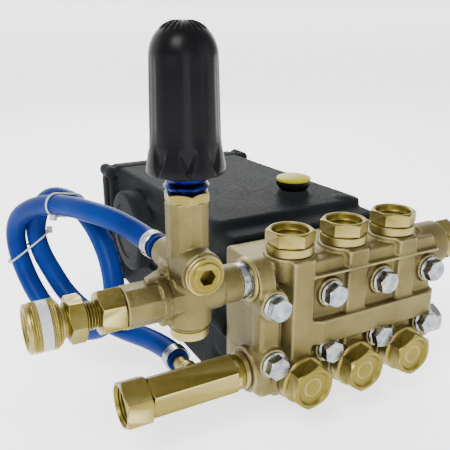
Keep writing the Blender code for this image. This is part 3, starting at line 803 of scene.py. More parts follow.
def addPlugs():
    low, high, centre = spot("discharge_plug")
    head = chamferedHex("plugHead", caps["flats"], -11.7, 0, True, 30)
    roundEdges(head, 0.4, 2, 25)
    head = boolPiece(head, turnPiece("dish", [(-3, 8.6), (0.3, 10)], 48), "DIFFERENCE")
    neck = turnPiece("neck", [(-30, 5.6), (-29.4, 6.1), (-11, 6.1)], 32)
    plug = smoothPiece(mergePieces("dischargePlug", [head, neck]))
    placePiece(plug, (high.x, centre.y, centre.z), "X")
    finishPiece(plug, "discharge_plug", base, "machined_brass")
    low, high, centre = spot("inlet_plug")
    head = chamferedHex("plugHead", caps["smallPlug"], -15.7, 0, True, 30)
    roundEdges(head, 0.35, 2, 25)
    neck = turnPiece("neck", [(-26, 5.6), (-25.4, 6.1), (-15, 6.1)], 32)
    plug = smoothPiece(mergePieces("inletPlug", [head, neck]))
    placePiece(plug, (high.x, centre.y, centre.z), "X")
    finishPiece(plug, "inlet_plug", base, "zinc")
    low, high, centre = spot("discharge_nipple")
    nipple = turnPiece("dischargeNipple", [(54, 4), (54, 5.7), (54.5, 6.1), (69.3, 6.1),
                                           (69.3, 10.2), (69.8, 10.9), (71.6, 10.9),
                                           (72.0, 10.1), (73.4, 10.1), (73.8, 10.9),
                                           (76.4, 10.9), (77, 10.2), (77, 4)], 72, True)
    placePiece(smoothPiece(nipple), (0, centre.y, centre.z), "-X")
    finishPiece(nipple, "discharge_nipple", base, "zinc")
    seat = turnPiece("nippleSeat", [(68.6, 6.3), (68.6, 12.6), (69.6, 13.4), (70.4, 13.2),
                                    (70.9, 12.4), (70.9, 11.1), (69.2, 11.1), (69.2, 6.3)],
                     72, True)
    placePiece(smoothPiece(seat), (0, centre.y, centre.z), "-X")
    finishPiece(seat, None, base, "machined_brass")


addCaps()
addBolts()
addPlugs()
print("caps, bolts and plugs made")


# Valve manifold: one casting

manifold = {
    "front": -150.0, "boss": -161.0, "bar": -163.9, "back": -110.3, "pitch": 40.0,
    "capY": -144.0, "lowerZ": 37.3, "outletZ": 102.5, "inletZ": 42.5, "plungerZ": 71.0,
    "boltX": (-60, -20, 20, 60), "boltZ": (90, 52.2), "voxel": 0.85, "passes": 4,
}


def addManifold():
    m = manifold
    rows = (-m["pitch"], 0, m["pitch"])
    shells = [boxPiece("core", (-65.5, m["front"], 25), (66, m["back"], 111.6), 2.2)]
    for x in rows:
        front, depth = m["boss"], m["front"] + 4
        shells.append(wedgePiece("pilaster", ((x - 13, depth), (x - 7.2, front),
                                              (x + 7.2, front), (x + 13, depth)), 26, 113.6))
        shells.append(rodPiece("capBoss", 15.4, 100, 114.6, (x, m["capY"], 0), "Z", 56))
        shells.append(rodPiece("lowerBoss", 16.6, 140, 158.2, (x, 0, m["lowerZ"]), "-Y", 56))
        shells.append(boxPiece("lowerWeb", (x - 16.2, -155, 23.5), (x + 16.2, -140, 37), 2))
    for x in m["boltX"]:
        for z in m["boltZ"]:
            shells.append(rodPiece("boltBoss", 9.3, 146, 161, (x, 0, z), "-Y"))
    for x in (m["boltX"][0], m["boltX"][-1]):  # corner columns between the bolts
        shells.append(boxPiece("column", (x - 7.5, -157.5, 27), (x + 7.5, -146, 92), 3.5, 4))
    shells.append(wedgePiece("bar", ((-27, m["bar"]), (62, m["bar"]), (67.4, -159.5), (67.4, -148),
                                     (-53, -148), (-41, -157)), 57, 73.5))
    shells.append(boxPiece("ridge", (-34, -161.9, 101.4), (66.8, -148, 103.4), 0.6, 2))
    shells.append(boxPiece("shelf", (-48, -157.8, 60), (66.4, -148, 111), 2))
    for low, high, radius, z, side in ((58, 69, 15, m["outletZ"] - 2, "-X"),
                                       (60, 71.1, 14.4, m["inletZ"], "-X"),
                                       (60, 79.8, 15, m["outletZ"] - 3, "X"),
                                       (60, 71.8, 14, m["inletZ"], "X")):
        shells.append(rodPiece("sideBoss", radius, low, high, (0, m["capY"], z), side, 56))
    shells.append(boxPiece("foot", (-66, -152, 24.5), (-56, -114, 50), 3, 3))
    head = castPiece(mergePieces("manifoldCasting", shells), m["voxel"], m["passes"])
    tools = [rodPiece("gallery", 6.5, -70, 83, (0, m["capY"], m["outletZ"]), "X"),
             rodPiece("gallery", 6.5, -75, 75, (0, m["capY"], m["inletZ"] - 3), "X")]
    for x in rows:
        tools.append(rodPiece("capBore", 10.5, 60, 118, (x, m["capY"], 0), "Z"))
        tools.append(rodPiece("lowerBore", 10.5, 126, 162, (x, 0, m["lowerZ"]), "-Y"))
        tools.append(rodPiece("lift", 7.5, 36, 63, (x, -137, 0), "Z"))
        tools.append(rodPiece("plungerBore", 9.6, 100, 142, (x, 0, m["plungerZ"]), "-Y"))
        tools.append(rodPiece("sealBore", 12.9, 100, 119.5, (x, 0, m["plungerZ"]), "-Y"))
    tools += [rodPiece("boltHole", 4.2, 100, 165, (x, 0, z), "-Y", 24)
              for x in m["boltX"] for z in m["boltZ"]]
    cutHoles(head, tools)
    finishPiece(head, "manifold", base, "cast_brass")


addManifold()
print("manifold made")


# Unloader valve: casting, plugs, sleeve and adjusting knob

unloader = {
    "x": -106.5, "y": -144.0, "stemRadius": 11.75, "stemLow": 84.0, "stemHigh": 155.0,
    "hexFlats": 21.5, "hexHigh": 161.0, "hexTurn": -12, "frontZ": 120.5, "frontEnd": -165.0,
    "outletZ": 102.0, "outletEnd": -145.0, "portZ": 102.5, "portEnd": -77.3,
    "bypassZ": 119.0, "voxel": 0.55, "passes": 4,
}


def addUnloaderBody():
    u = unloader
    x, y = u["x"], u["y"]
    stem, front = (x, y, 0), (x, 0, u["frontZ"])
    side, port = (0, y, u["outletZ"]), (0, y, u["portZ"])
    barrel = barPiece("barrel", 12, u["stemRadius"], u["stemLow"], u["stemHigh"] + 1, 15)
    shells = [placePiece(barrel, Vector(stem) * mm)]
    shells.append(rodPiece("belly", 12.6, 85.5, 112, stem, "Z", 48))
    shells.append(rodPiece("frontBoss", 12.1, 146, 162.8, front, "-Y", 48))
    shells.append(rodPiece("frontFace", 11.0, 160, 164.6, front, "-Y", 48))
    shells.append(rodPiece("frontSeat", 10.5, 160, -u["frontEnd"], front, "-Y", 48))
    arm = barPiece("arm", 8, 12.1, -u["x"], -u["outletEnd"], 22.5)
    shells.append(placePiece(arm, Vector(side) * mm, "-X"))
    shells.append(rodPiece("armCollar", 12.3, 121, 125.5, side, "-X", 48))
    shells.append(rodPiece("armRim", 11.7, 142.5, 145, side, "-X", 48))
    shells.append(rodPiece("port", 11.2, x, u["portEnd"], port, "X", 48))
    shells.append(rodPiece("portCollar", 12.0, x, x + 17, port, "X", 48))
    bypass = (x, y, u["bypassZ"])
    shells.append(placePiece(turnPiece("bypassBoss", [(4, 10.4), (14, 9.8), (25.2, 8.8),
                                                      (26.8, 7.8)], 48),
                             Vector(bypass) * mm, barbAxis))
    shells.append(wedgePiece("web", ((x, y), (x - 1, y + 17), (x - 10, y + 13),
                                     (x - 25, y + 2), (x - 25, y - 2)), 105, 116))
    shells.append(wedgePiece("fin", ((x, y), (x - 1, y + 19), (x - 10, y + 17),
                                     (x - 15, y + 6), (x - 13, y - 1)), 103, 122))
    shells.append(wedgePiece("lowWeb", ((x - 18, y - 3), (x - 18, y + 3), (x, y + 3),
                                        (x, y - 3)), 86.5, 92))
    body = castPiece(mergePieces("unloaderBody", shells), u["voxel"], u["passes"])
    cutHoles(body, [rodPiece("stemBore", 8.2, 70, 170, stem, "Z"),
                    rodPiece("outletBore", 4.5, -160, -84, side, "X"),
                    rodPiece("portBore", 4.5, -100, -70, port, "X"),
                    rodPiece("frontBore", 6.5, 144, 172, front, "-Y"),
                    rodPiece("bypassBore", 6.7, 18, 29, bypass, barbAxis)])
    finishPiece(body, "unloader_body", base, "cast_brass")
    collar = chamferedHex("unloaderCollar", u["hexFlats"], u["stemHigh"], u["hexHigh"],
                          True, u["hexTurn"])
    cutHoles(roundEdges(collar, 0.3), [rodPiece("collarBore", 8.2, 140, 170, (0, 0, 0), "Z")])
    placePiece(collar, Vector(stem) * mm)
    finishPiece(collar, None, base, "machined_brass")


def addUnloaderPlugs():
    u = unloader
    stem = Vector((u["x"], u["y"], 0)) * mm
    cap = turnPiece("unloaderBottomCap", [(77, 6.5), (77.3, 8.8), (77, 9.2), (77, 10.2),
                                          (77.8, 10.9), (82.4, 10.9), (82.7, 10.4),
                                          (83.3, 10.4), (83.6, 10.0), (83.7, 7.9),
                                          (88.5, 7.9), (89, 7.4)], 72)
    finishPiece(smoothPiece(placePiece(cap, stem)), "unloader_bottom_cap", base,
                "machined_brass")
    plug = turnPiece("unloaderFrontPlug", [(157, 5.6), (157.5, 6.1), (165.3, 6.1),
                                           (165.3, 9.6), (165.8, 10.1), (166.9, 10.1),
                                           (167.3, 9.7), (167.3, 8.3), (167.6, 7.9),
                                           (168, 7.5)], 72)
    plug = boolPiece(plug, barPiece("socket", 6, 8 / 2 / math.cos(math.pi / 6), 162, 172, 30),
                     "DIFFERENCE")
    placePiece(plug, Vector((u["x"], 0, u["frontZ"])) * mm, "-Y")
    finishPiece(smoothPiece(plug), "unloader_front_plug", base, "machined_brass")
    ring = turnPiece("frontSealRing", [(164.9, 6.6), (164.9, 10.7), (165.2, 10.9),
                                       (165.5, 10.7), (165.5, 6.6)], 72, True)
    placePiece(ring, Vector((u["x"], 0, u["frontZ"])) * mm, "-Y")
    finishPiece(smoothPiece(ring), None, base, "machined_brass")
    thread = threadProfile(161.8, 171.0, 11.9, 10.4, 4.6)
    sleeve = turnPiece("adjustSleeve", [(147, 4.5), (147, 7.9), (161.3, 7.9), (161.3, 11.2)]
                       + thread + [(172, 11.6), (203.4, 11.6), (204, 11), (204, 4.5)], 72, True)
    finishPiece(smoothPiece(placePiece(sleeve, stem), 40), "adjust_sleeve", base,
                "blue_anodised")


knob = {
    "flutes": 8, "fluteDepth": 0.026, "fluteTop": 232.0, "skirtLow": 173.0,
    "skirtHigh": 187.0, "recessRadius": 18.3, "wallRadius": 16.4, "boreRadius": 12.6,
    "boreTop": 210.0, "domeLow": 228.0, "domeRadius": 17.2, "domeRise": 17.3,
    "ridges": 22, "ridgeHeight": 0.45, "ridgeLow": 236.0, "turn": 1.5,
}


def knobProfile():
    # Outer side from skirt to crown, then the wide bore underneath
    points = [(208, 12.3), (171, 12.4), (171, 19.3), (171.3, 20.0), (172, 20.45),
              (173.5, 20.5)]
    points += [(175 + 1.0 * k, 20.45 - 0.16 * k) for k in range(8)]
    points += [(183 + 1.0 * k, 19.1 - 0.17 * k) for k in range(5)]
    points += [(188, 18.25)]
    points += [(188 + 4 * k, 18.25 - 0.105 * k) for k in range(1, 11)]
    for k in range(1, 23):
        a = math.radians(90 * k / 22)
        points.append((knob["domeLow"]
                       + knob["domeRise"] * math.sin(a) * (1 - 0.03 * math.cos(a)),
                       max(0.4, knob["domeRadius"] * math.cos(a) ** 0.82)))
    return points


def easeStep(t):
    # 0 below 0, 1 above 1 and a soft rise between them.
    t = max(0.0, min(1.0, t))
    return t * t * (3 - 2 * t)


def addKnob():
    piece = turnPiece("adjustKnob", knobProfile(), 160)
    for vert in piece.data.vertices:
        along, radius = vert.co.z / mm, math.hypot(vert.co.x, vert.co.y) / mm
        if radius < knob["boreRadius"] and along < knob["boreTop"]:
            continue
        turn = math.atan2(vert.co.y, vert.co.x)
        phase = (turn * knob["flutes"] / (2 * math.pi)) % 1.0
        away = abs(phase - 0.5) * 2  # 0 in the middle of a skirt recess, 1 between two
        grow = 1.0
        if knob["skirtLow"] < along < knob["skirtHigh"] + 1 and radius > knob["wallRadius"]:
            rise = (along - knob["skirtLow"]) / (knob["skirtHigh"] - knob["skirtLow"])
            dip = easeStep((0.74 * min(1, rise) ** 0.6 - away) / 0.28)
            dip *= easeStep((knob["skirtHigh"] + 1 - along) / 5)
            grow = 1 + (min(1, knob["recessRadius"] / radius) - 1) * dip
        elif radius > knob["wallRadius"]:
            rise = easeStep((along - knob["skirtHigh"]) / 5)
            rise *= easeStep((knob["fluteTop"] - along) / 9)
            dip = easeStep((away - 0.28) / 0.45) * rise
            grow = 1 - knob["fluteDepth"] * dip
        vert.co.x *= grow
        vert.co.y *= grow
        if 2.5 < radius < 12.4 and along > knob["ridgeLow"]:  # ridges on the crown
            edge = min(1.0, (radius - 2.5) / 2, (12.4 - radius) / 1.5)
            vert.co.z += knob["ridgeHeight"] * edge * mm * math.cos(knob["ridges"] * turn)
    placePiece(piece, Vector((unloader["x"], unloader["y"], 0)) * mm, "Z", knob["turn"])
    finishPiece(smoothPiece(piece, 50), "adjust_knob", "knob", "black_plastic")


addUnloaderBody()
addUnloaderPlugs()
addKnob()
print("unloader and knob made")


# Outlet adaptor and quick coupler

outlet = {"y": -144.0, "z": 102.0, "flats": 22.0, "knurls": 84, "knurlDepth": 0.30}


def knurlPiece(piece, low, high):
    # Raise a diamond pattern on the outer skin between two distances
    for vert in piece.data.vertices:
        along, radius = vert.co.z / mm, math.hypot(vert.co.x, vert.co.y) / mm
        if low < along < high and radius > 12:
            turn = math.atan2(vert.co.y, vert.co.x) * outlet["knurls"] / 2
            lift = math.cos(turn + along * 3.1) * math.cos(turn - along * 3.1)
            grow = 1 - outlet["knurlDepth"] * (1 - lift) / radius
            vert.co.x *= grow
            vert.co.y *= grow


def addOutlet():
    side = Vector((0, outlet["y"], outlet["z"])) * mm
    nut = chamferedHex("adaptorNut", outlet["flats"], 145.3, 158.6, True, 30)
    roundEdges(nut, 0.35)
    nipple = turnPiece("adaptorNipple", [(157, 7.2), (159, 7.2)]
                       + threadProfile(159.2, 165.2, 7.6, 6.8, 1.5) + [(165.5, 6.6)], 56)
    shank = turnPiece("adaptorRim", [(145.3, 9.6), (145.3, 10.9), (146.2, 11.5)], 56)
    piece = boolPiece(boolPiece(nut, nipple, "UNION"), shank, "UNION")
    piece = boolPiece(piece, turnPiece("bore", [(140, 4.5), (170, 4.5)], 40), "DIFFERENCE")
    placePiece(smoothPiece(piece), side, "-X")
    piece.name = "outletAdaptor"
    finishPiece(piece, "outlet_adaptor", base, "machined_brass")
    nut = chamferedHex("couplerNut", outlet["flats"], 165.8, 174.5, True)
    roundEdges(nut, 0.35)
    barrel = turnPiece("couplerBarrel", [(165.9, 8.0), (172, 9.0), (174.9, 9.2), (175.2, 8.6),
                                         (176.4, 8.6), (176.7, 9.2), (191.5, 9.2),
                                         (192.5, 8.6)], 64)
    piece = boolPiece(nut, barrel, "UNION")
    piece = boolPiece(piece, turnPiece("bore", [(160, 6.8), (190.5, 6.8), (193, 7.7)], 56),
                      "DIFFERENCE")
    placePiece(smoothPiece(piece), side, "-X")
    piece.name = "couplerBody"
    finishPiece(piece, "coupler_body", base, "machined_brass")
    addCouplerSleeve(side)


def addCouplerSleeve(side):
    profile = [(178, 9.6), (178, 11.0), (178.4, 11.5), (179.4, 11.6), (179.8, 12.4)]
    profile += [(180 + 0.27 * k, 13.0) for k in range(11)]
    profile += [(182.9, 12.3), (188.4, 12.3)]
    profile += [(188.6 + 0.27 * k, 13.0) for k in range(11)]
    profile += [(191.5, 12.4), (192.2, 12.3), (192.5, 12.8), (193.6, 12.7), (194.2, 12.2),
                (194.5, 11.6), (194.5, 10.9), (193.8, 10.3), (193.2, 9.6)]
    sleeve = turnPiece("couplerSleeve", profile, 252, True)
    knurlPiece(sleeve, 179.9, 182.8)
    knurlPiece(sleeve, 188.5, 191.4)
    placePiece(smoothPiece(sleeve, 45), side, "-X")
    finishPiece(sleeve, "coupler_sleeve", "coupler_lock", "machined_brass")
    band = turnPiece("couplerBand", [(183.0, 12.2), (183.0, 12.7), (183.2, 12.85),
                                     (188.1, 12.85), (188.3, 12.7), (188.3, 12.2)], 96, True)
    placePiece(smoothPiece(band), side, "-X")
    finishPiece(band, None, "coupler_lock", "zinc", "tieNylon")
    balls = []
    for k in range(6):  # locking balls seen inside the bore
        a = math.radians(60 * k)
        bpy.ops.object.select_all(action="DESELECT")
        bpy.ops.mesh.primitive_uv_sphere_add(segments=20, ring_count=12, radius=1.5 * mm)
        ball = bpy.context.object
        ball.name = "ball"
        placePiece(ball, (-188.5 * mm, side.y + 7.3 * mm * math.cos(a),
                          side.z + 7.3 * mm * math.sin(a)))
        balls.append(ball)
    balls = smoothPiece(mergePieces("couplerBalls", balls), 60)
    finishPiece(balls, None, base, "steel")


# Inlet bar, swivel nut and hose barbs

inlet = {"y": -144.0, "z": 42.5, "flats": 22.0, "nutFlats": 25.5, "barbX": -102.0}


def addInlet():
    side = Vector((0, inlet["y"], inlet["z"])) * mm
    bar = chamferedHex("inletAdaptor", inlet["flats"], 79.5, 133.7, True, 30)
    roundEdges(bar, 0.4)
    flange = turnPiece("swivelFlange", [(132, 9.6), (138.6, 9.6), (138.9, 10.6), (140.7, 10.9),
                                        (141, 10.5)], 56)
    neck = turnPiece("inletNeck", [(71.5, 10.6), (71.9, 11.3), (74.6, 11.3), (75, 10.5),
                                   (77.6, 10.5), (78, 11.3), (80.2, 11.3)], 56)
    for shell in (flange, neck):
        bar = boolPiece(bar, shell, "UNION")
    bar = boolPiece(bar, turnPiece("bore", [(60, 7.5), (139, 7.5), (142, 8.6)], 56),
                    "DIFFERENCE")
    placePiece(bar, side, "-X")
    seat = rodPiece("seat", 8, -132.5, -120, (inlet["barbX"], 0, inlet["z"]), "Y")
    bar = boolPiece(bar, seat, "DIFFERENCE")
    finishPiece(smoothPiece(bar), "inlet_adaptor", base, "machined_brass")
    nut = chamferedHex("inletSwivelNut", inlet["nutFlats"], 134, 149.5, True, 30)
    roundEdges(nut, 0.4)
    mouth = turnPiece("mouth", [(138.4, 11.0)] + threadProfile(139.4, 148.2, 10.7, 11.25, 1.8)
                      + [(149.8, 11.7)], 72)
    nut = boolPiece(nut, mouth, "DIFFERENCE")
    nut = boolPiece(nut, turnPiece("throat", [(130, 9.9), (139, 9.9)], 56), "DIFFERENCE")
    placePiece(smoothPiece(nut), side, "-X")
    finishPiece(nut, "inlet_swivel_nut", "swivel_nut", "machined_brass")
    screen = turnPiece("inletScreen", [(141.1, 7.4), (141.1, 10.3), (142.9, 10.3),
                                       (143.2, 9.9), (143.2, 8.6), (142.6, 8.2),
                                       (142.2, 7.4)], 64, True)
    dome = turnPiece("screenDome", [(141.3, 8.0), (142.0, 8.0), (143.2, 6.6), (144.0, 4.4),
                                    (144.3, 1.6)], 48)
    screen = smoothPiece(mergePieces("inletScreen", [screen, dome]), 40)
    placePiece(screen, side, "-X")
    finishPiece(screen, None, base, "steel", "screenSteel")


def addBarbs():
    for node, centre, axis, start, end in (
            ("upper_hose_barb", (unloader["x"], unloader["y"], unloader["bypassZ"]), barbAxis,
             20.4, 31.4),
            ("lower_hose_barb", (inlet["barbX"], inlet["y"], inlet["z"]), "Y", 11.8, 26.6)):
        barb = turnPiece("barb", [(start, 5.6), (start, 6.3), (start + 0.4, 6.6),
                                  (start + 4.6, 6.6), (start + 5, 6.2), (start + 5.2, 4.3),
                                  (start + 7.2, 4.3), (start + 7.5, 4.7), (end - 0.6, 4.6),
                                  (end, 4.2)], 48)
        placePiece(smoothPiece(barb), Vector(centre) * mm, axis)
        barb.name = node.replace("hose_barb", "barb")
        finishPiece(barb, node, base, "machined_brass")


addOutlet()
addInlet()
addBarbs()
print("outlet, inlet and barbs made")


# Power end: crankcase, covers, shaft end and oil fittings

case = {
    "half": 62.0, "front": -90.0, "rear": 113.0, "top": 119.5, "topFall": 4.5,
    "neckFront": -109.6,
    "neckTop": 114.5, "flangeHalf": 71.0, "coverHalf": 74.0, "coverRear": 123.0,
    "crankY": 55.0, "crankZ": 71.0, "throw": 6.0, "capX": 22.0, "capY": -56.0, "boltX": (-60, 60),
    "boltZ": (90, 52.2), "voxel": 1.5, "passes": 3,
}
lugs = [(x, z) for x in (-70, 70) for z in (9.5, 111)]  # cover screws


def addCrankcase():
    c = case
    w, crank = c["half"], (0, c["crankY"], c["crankZ"])
    body = boxPiece("case", (-w, c["front"], 0), (w, c["rear"] - 3, c["top"]))
    for vert in body.data.vertices:  # the top falls a little toward the rear
        if vert.co.y > 0 and vert.co.z > 0.1:
            vert.co.z -= c["topFall"] * mm
    body = boxCorners(body, 2, 7)
    shells = [roundEdges(body, 2.2, 3)]
    neck = boxPiece("neck", (-w + 0.4, c["neckFront"] + 0.2, 20.4), (w - 0.4, -80, c["neckTop"]))
    shells.append(boxCorners(neck, 1, 6))
    flange = boxPiece("flange", (-c["flangeHalf"], c["rear"] - 6, 1),
                      (c["flangeHalf"], c["rear"], 116.6))
    shells.append(boxCorners(flange, 1, 12))
    shells.append(boxPiece("rib", (-w - 2.2, c["rear"] - 12.5, 7),
                           (w + 2.2, c["rear"] - 9.5, 112), 1))
    for x, z in lugs:
        shells.append(rodPiece("lug", 5.5, c["rear"] - 9, c["rear"], (x, 0, z), "Y"))
    for x in c["boltX"]:
        for z in c["boltZ"]:
            shells.append(rodPiece("boltBoss", 8.2, c["neckFront"], -92, (x, 0, z), "Y"))
    for side in (-1, 1):
        shells.append(rodPiece("bearingBoss", 37.5, 55, 62.2, crank, "X" if side > 0 else "-X",
                               64))
        shells.append(wedgePiece("sideSwell", ((side * 58, c["crankY"] + 30),
                                               (side * 62.2, c["crankY"] + 28),
                                               (side * 68, c["crankY"] - 12),
                                               (side * 67, c["crankY"] - 34),
                                               (side * 62.5, c["crankY"] - 88),
                                               (side * 58, c["crankY"] - 88)), 52, 88))
        for z in (40, 99):
            shells.append(wedgePiece("sideRib", ((side * 60, c["crankY"] - 20),
                                                 (side * 65.5, c["crankY"] - 24),
                                                 (side * 62.6, c["crankY"] - 80),
                                                 (side * 60, c["crankY"] - 80)), z, z + 4))
    spout = (c["capX"], c["capY"], 0)
    shells.append(rodPiece("spoutFoot", 12.6, 112, c["top"] + 0.9, spout, "Z"))
    shells.append(rodPiece("spout", 11.4, 112, c["top"] + 4.2, spout, "Z"))
    shells.append(rodPiece("liftBoss", 5.6, 112, c["top"] + 1.4, (50, -80, 0), "Z"))
    body = castPiece(mergePieces("crankcase", shells), c["voxel"], c["passes"])
    tools = [boxPiece("sump", (-w + 8, -82, 9), (w - 8, c["rear"] + 10, 50)),
             boxPiece("crankRoom", (-w + 8, -49.5, 45), (w - 8, c["rear"] + 10, 111)),
             rodPiece("bearingSeat", 26.3, -76, 76, crank, "X", 64),
             rodPiece("fillHole", 8.4, 100, 130, spout, "Z")]
    tools += [rodPiece("guide", 13.45, -115, -45, (x, 0, c["crankZ"]), "Y")
              for x in (-40, 0, 40)]
    tools += [rodPiece("boltHole", 4.2, -115, -97, (x, 0, z), "Y", 20)
              for x in (-60, -20, 20, 60) for z in c["boltZ"]]
    tools += [rodPiece("footHole", 3.4, -1, 6, (x, y, 0), "Z", 20)
              for x in (-46, 46) for y in (-70, 70)]
    cutHoles(body, tools)
    finishPiece(body, "crankcase", base, "case_paint")


def boxCorners(piece, along, radius):
    # Round the four edges that run along one axis
    pick(piece)
    bpy.ops.object.mode_set(mode="EDIT")
    bpy.ops.mesh.select_mode(type="EDGE")
    bpy.ops.mesh.select_all(action="DESELECT")
    bpy.ops.object.mode_set(mode="OBJECT")
    verts = piece.data.vertices
    for edge in piece.data.edges:
        run = verts[edge.vertices[0]].co - verts[edge.vertices[1]].co
        edge.select = abs(run[along]) > 0.99 * run.length
    bpy.ops.object.mode_set(mode="EDIT")
    bpy.ops.mesh.bevel(offset=radius * mm, segments=6, affect="EDGES")
    bpy.ops.object.mode_set(mode="OBJECT")
    return piece


def addCoverScrews():
    # Socket head screws, one mesh copied to each lug of the rear cover.
    radius, height = 4.0, 2.4
    head = turnPiece("screw", [(-0.4, radius), (height - 0.5, radius), (height, radius - 0.5)],
                     32)
    head = boolPiece(head, barPiece("key", 6, radius * 0.52, height - 2, height + 1),
                     "DIFFERENCE")
    smoothPiece(head)
    copies = [copyPiece(head, f"coverScrews{k}", Vector((x, case["coverRear"] + 1, z)) * mm,
                        "Y", 17 * k) for k, (x, z) in enumerate(lugs)]
    dropPiece(head)
    finishPiece(mergePieces("coverScrews", copies), None, base, "zinc", "darkScrew")


def addRearCover():
    c = case
    face = c["rear"] + 0.3
    cover = boxPiece("rearCover", (-c["coverHalf"], face, 1.5), (c["coverHalf"],
                                                                 c["coverRear"], 115.5))
    cover = roundEdges(boxCorners(cover, 1, 14), 1.2, 2)
    shells = [cover]
    for x, z in lugs:
        shells.append(rodPiece("lug", 5.5, face + 0.2, c["coverRear"] + 1.2, (x, 0, z), "Y"))
    shells.append(rodPiece("glassBoss", 18, face + 2, c["coverRear"] + 0.3, (0, 0, 66), "Y"))
    for z in (38, 52, 80, 94):
        shells.append(boxPiece("rib", (-50, c["coverRear"] - 3, z - 1.5),
                               (50, c["coverRear"] + 1.6, z + 1.5), 1))
    cover = castPiece(mergePieces("rearCover", shells), 1.2, 3)
    cutHoles(cover, [rodPiece("glassHole", 11.4, 80, 130, (0, 0, 66), "Y"),
                     rodPiece("drainHole", 6.4, 80, 130, (0, 0, 18), "Y"),
                     rodPiece("glassSeat", 19.5, c["coverRear"] + 0.35, 130, (0, 0, 66), "Y")])
    finishPiece(cover, "rear_cover", base, "case_paint")
    addCoverScrews()


def addCovers():
    c = case
    crank = Vector((0, c["crankY"], c["crankZ"])) * mm
    left = turnPiece("leftBearingCover", [(60.9, 25.2), (61.2, 25.8), (62.3, 25.8),
                                          (62.3, 34.6), (62.8, 35), (73.6, 35), (75.2, 34.4),
                                          (76.2, 33), (76.5, 31.4), (76.5, 24.5),
                                          (75.6, 23.6), (75.6, 9.6), (76.3, 8.6),
                                          (76.4, 1)], 96)
    placePiece(smoothPiece(left, 40), crank, "-X")
    finishPiece(left, "left_bearing_cover", base, "case_paint")
    right = turnPiece("rightBearingCover", [(60.9, 16), (60.9, 25.8), (62.3, 25.8),
                                            (62.3, 34.6), (62.8, 35), (69.2, 35), (70.9, 34.2),
                                            (71.5, 32.8), (71.5, 21.6), (70.9, 20.8),
                                            (70.9, 18.3), (62.8, 18.3), (62.8, 16)], 96, True)
    placePiece(smoothPiece(right, 40), crank, "X")
    finishPiece(right, "right_bearing_cover", base, "case_paint")
    seal = turnPiece("shaftOilSeal", [(63.2, 12.3), (63.2, 18), (70.6, 18), (70.9, 17.6),
                                      (70.9, 16.6), (69.8, 16.0), (69.2, 14.6),
                                      (70.4, 13.2), (70.2, 12.3)], 72, True)
    placePiece(smoothPiece(seal, 40), crank, "X")
    finishPiece(seal, "shaft_oil_seal", base, "rubber")


def addCrankshaft():
    c = case
    crank = Vector((0, c["crankY"], c["crankZ"])) * mm
    nose = turnPiece("nose", [(46.5, 12.5), (61.5, 12.5), (62.5, 12.0), (108.6, 12.0),
                              (110, 10.8), (110, 3.2), (109.2, 2.4), (107, 0.6)], 72)
    slot = boxPiece("keyway", (-30, -4, 84), (-8, 4, 107))
    nose = boolPiece(nose, slot, "DIFFERENCE")
    shells = [nose, turnPiece("tail", [(-60.4, 11.5), (-59.4, 12.5), (-46.5, 12.5)], 56)]
    for low, high in ((-49.5, -45.8), (-34.2, -5.8), (5.8, 34.2), (45.8, 49.5)):
        shells.append(turnPiece("web", [(low, 21), (low + 0.5, 21.5), (high - 0.5, 21.5),
                                        (high, 21)], 56))
    shaft = placePiece(mergePieces("crankshaft", shells), crank, "X")
    pins = []
    for x, a in zip((-40, 0, 40), (0, 120, 240)):
        pins.append(rodPiece("pin", 12, x - 6.5, x + 6.5,
                             (0, c["crankY"] + c["throw"] * math.cos(math.radians(a)),
                              c["crankZ"] + c["throw"] * math.sin(math.radians(a))), "X", 48))
    shaft = smoothPiece(mergePieces("crankshaft", [shaft] + pins))
    finishPiece(shaft, "crankshaft", "crank_assembly", "steel")


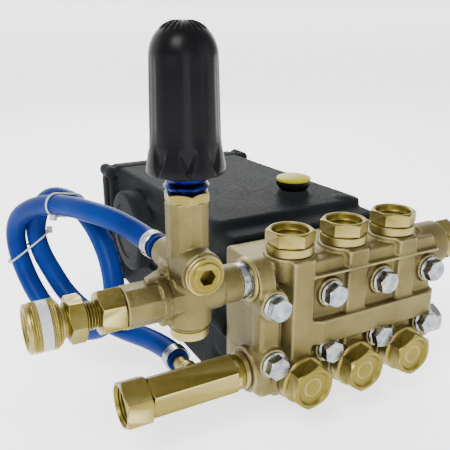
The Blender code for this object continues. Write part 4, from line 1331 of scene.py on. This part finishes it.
def addOilFittings():
    c = case
    out = c["coverRear"] + 0.4
    glass = turnPiece("sightGlass", [(out - 8, 10.6), (out - 7.6, 11), (out, 11), (out, 14.2),
                                     (out + 0.4, 14.6), (out + 3.6, 14.2), (out + 4.6, 13),
                                     (out + 4.6, 10), (out + 3.4, 9.2), (out + 3.2, 5)], 72)
    placePiece(smoothPiece(glass, 40), Vector((0, 0, 66)) * mm, "Y")
    finishPiece(glass, "sight_glass", base, "clear_plastic")
    plug = chamferedHex("oilDrainPlug", 15, out + 1.1, out + 6, turn=30)
    roundEdges(plug, 0.3)
    disc = turnPiece("disc", [(out - 10, 5.6), (out - 9.4, 6), (out, 6), (out, 9.6),
                              (out + 0.3, 10), (out + 1.3, 10), (out + 1.6, 9.6)], 48)
    plug = smoothPiece(boolPiece(plug, disc, "UNION"))
    placePiece(plug, Vector((0, 0, 18)) * mm, "Y")
    finishPiece(plug, "oil_drain_plug", base, "zinc")
    spout = Vector((c["capX"], c["capY"], 0)) * mm
    neck = turnPiece("oilCapNeck", [(104, 7.4), (105, 7.8), (124.3, 7.8), (124.3, 10.6),
                                    (124.8, 11.2), (126.4, 11.8), (126.8, 12.6),
                                    (127.4, 13.0), (130.2, 13.0), (130.6, 12.5)], 144)
    for vert in neck.data.vertices:
        radius = math.hypot(vert.co.x, vert.co.y)
        if radius > 12.55 * mm:
            rib = 1 - 0.028 * (0.5 + 0.5 * math.cos(36 * math.atan2(vert.co.y, vert.co.x)))
            vert.co.x *= rib
            vert.co.y *= rib
    placePiece(smoothPiece(neck, 40), spout)
    finishPiece(neck, None, "filler_cap", "black_plastic")
    top = turnPiece("oilCap", [(129.6, 11.6), (130.5, 12.5), (130.9, 12.9), (131.9, 13.0),
                               (132.6, 12.7), (132.9, 12.0), (133.2, 11.2), (134.0, 8.8),
                               (134.6, 5.6), (134.9, 2.0)], 96)
    placePiece(smoothPiece(top, 45), spout)
    finishPiece(top, "oil_cap", "filler_cap", "yellow_plastic")


addCrankcase()
addRearCover()
addCovers()
addCrankshaft()
addOilFittings()
print("power end made")


# Everything that keeps its CAD shape gets its finish


def dressFrame():
    for part in frame["record"]["subparts"]:
        node = frame["nodes"][part["node"]]
        for place in node.material_slots:
            place.material = finishes[bySlot[part["material_slot"]]]


dressFrame()
